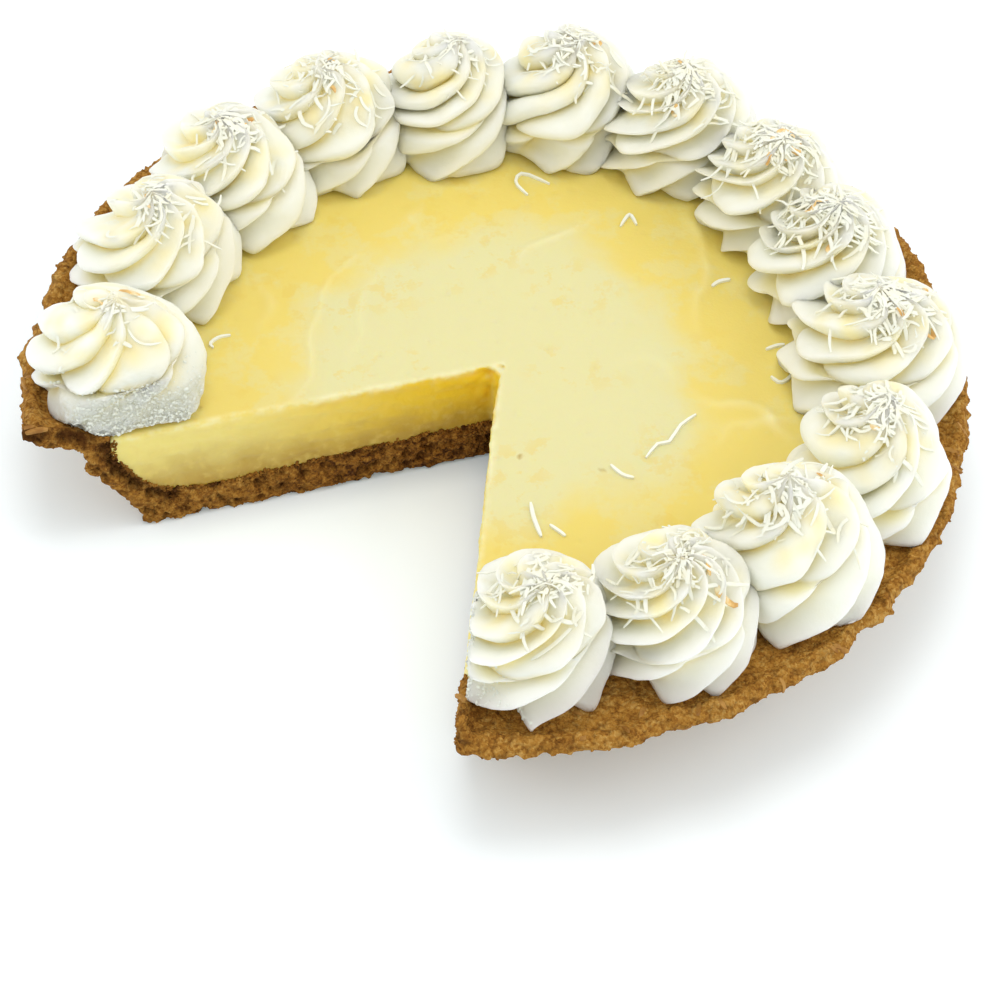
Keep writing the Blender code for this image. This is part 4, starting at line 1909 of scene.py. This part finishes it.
    def flat_shreds(self, draw: random.Random) -> list[Shred]:
        """Lays the strips that show on the custard, half sunk in its top."""
        made = []
        for line in self.on_custard:
            path = []
            for place in range(9):
                x, y = spline(line, place / 8)
                point = Vector((x * MM, y * MM, 0))
                point.z = self.custard.level(point) + 0.25 * MM
                path.append(point)
            made.append(Shred(path, Vector((0, 0, 1)), draw.uniform(0.9, 1.2) * MM, 0.7 * MM))
        return made

    def pressed_shreds(self, body: bpy.types.Object, draw: random.Random) -> list[Shred]:
        """Presses toasted strips into the crust's rim and wall.

        Args:
            body: The finished crust.
            draw: The source of random numbers.

        Returns:
            The strips.
        """
        made = []
        spots = Crust.on_surface(body, self.crust.skin_spots(draw, self.in_crust))
        for place, normal in spots:
            if normal.z < -0.3:
                continue
            along = self.any_way(normal, draw)
            length, curl = draw.uniform(2.5, 6) * MM, draw.uniform(-0.6, 0.6) * MM
            path = self.curved(place, along, normal, length, curl, 0.5 * MM, 4, 0.25 * MM)
            if min(point.z for point in path) > 1 * MM:
                made.append(Shred(path, normal, draw.uniform(0.7, 1.6) * MM, 0.8 * MM))
        return made

    def build(self, cream: Sequence[bpy.types.Object], ring: RosetteRing,
              body: bpy.types.Object) -> None:
        """Makes one piece of each kind of shred.

        Args:
            cream: The finished rosettes.
            ring: Their sizes.
            body: The finished crust.
        """
        tree = Bench.tree(cream)
        draw = random.Random(63)
        heaps: dict[Toast, list[Shred]] = {kind: [] for kind in Toast}
        for form in ring.forms:
            for _ in range(round(self.per_rosette * self.shares[form.number])):
                kind = Toast.GOLDEN if draw.random() < self.golden_share else Toast.WHITE
                shred = self.laid(tree, draw, form, kind is Toast.GOLDEN)
                if shred is not None:
                    heaps[kind].append(shred)
        heaps[Toast.WHITE].extend(self.flat_shreds(draw))
        heaps[Toast.BAKED].extend(self.pressed_shreds(body, draw))
        for kind, shreds in heaps.items():
            points: list[Vector] = []
            faces: list[tuple[int, ...]] = []
            for shred in shreds:
                own_points, own_faces = shred.mesh(len(points))
                points.extend(own_points)
                faces.extend(own_faces)
            item = Bench.many(f"coconut_{kind.value}", points, faces)
            Bench.dress(item, CoconutFinish(kind).material(), sharp=50)


def main() -> None:
    """Builds the dressed pie and its studio."""
    Studio().build()
    crust = Crust()
    body = crust.build()
    ring = RosetteRing()
    cream = ring.build(crust)
    custard = Custard(crust)
    custard.build(ring)
    Coconut(custard, crust).build(cream, ring, body)


if __name__ == "__main__":
    main()
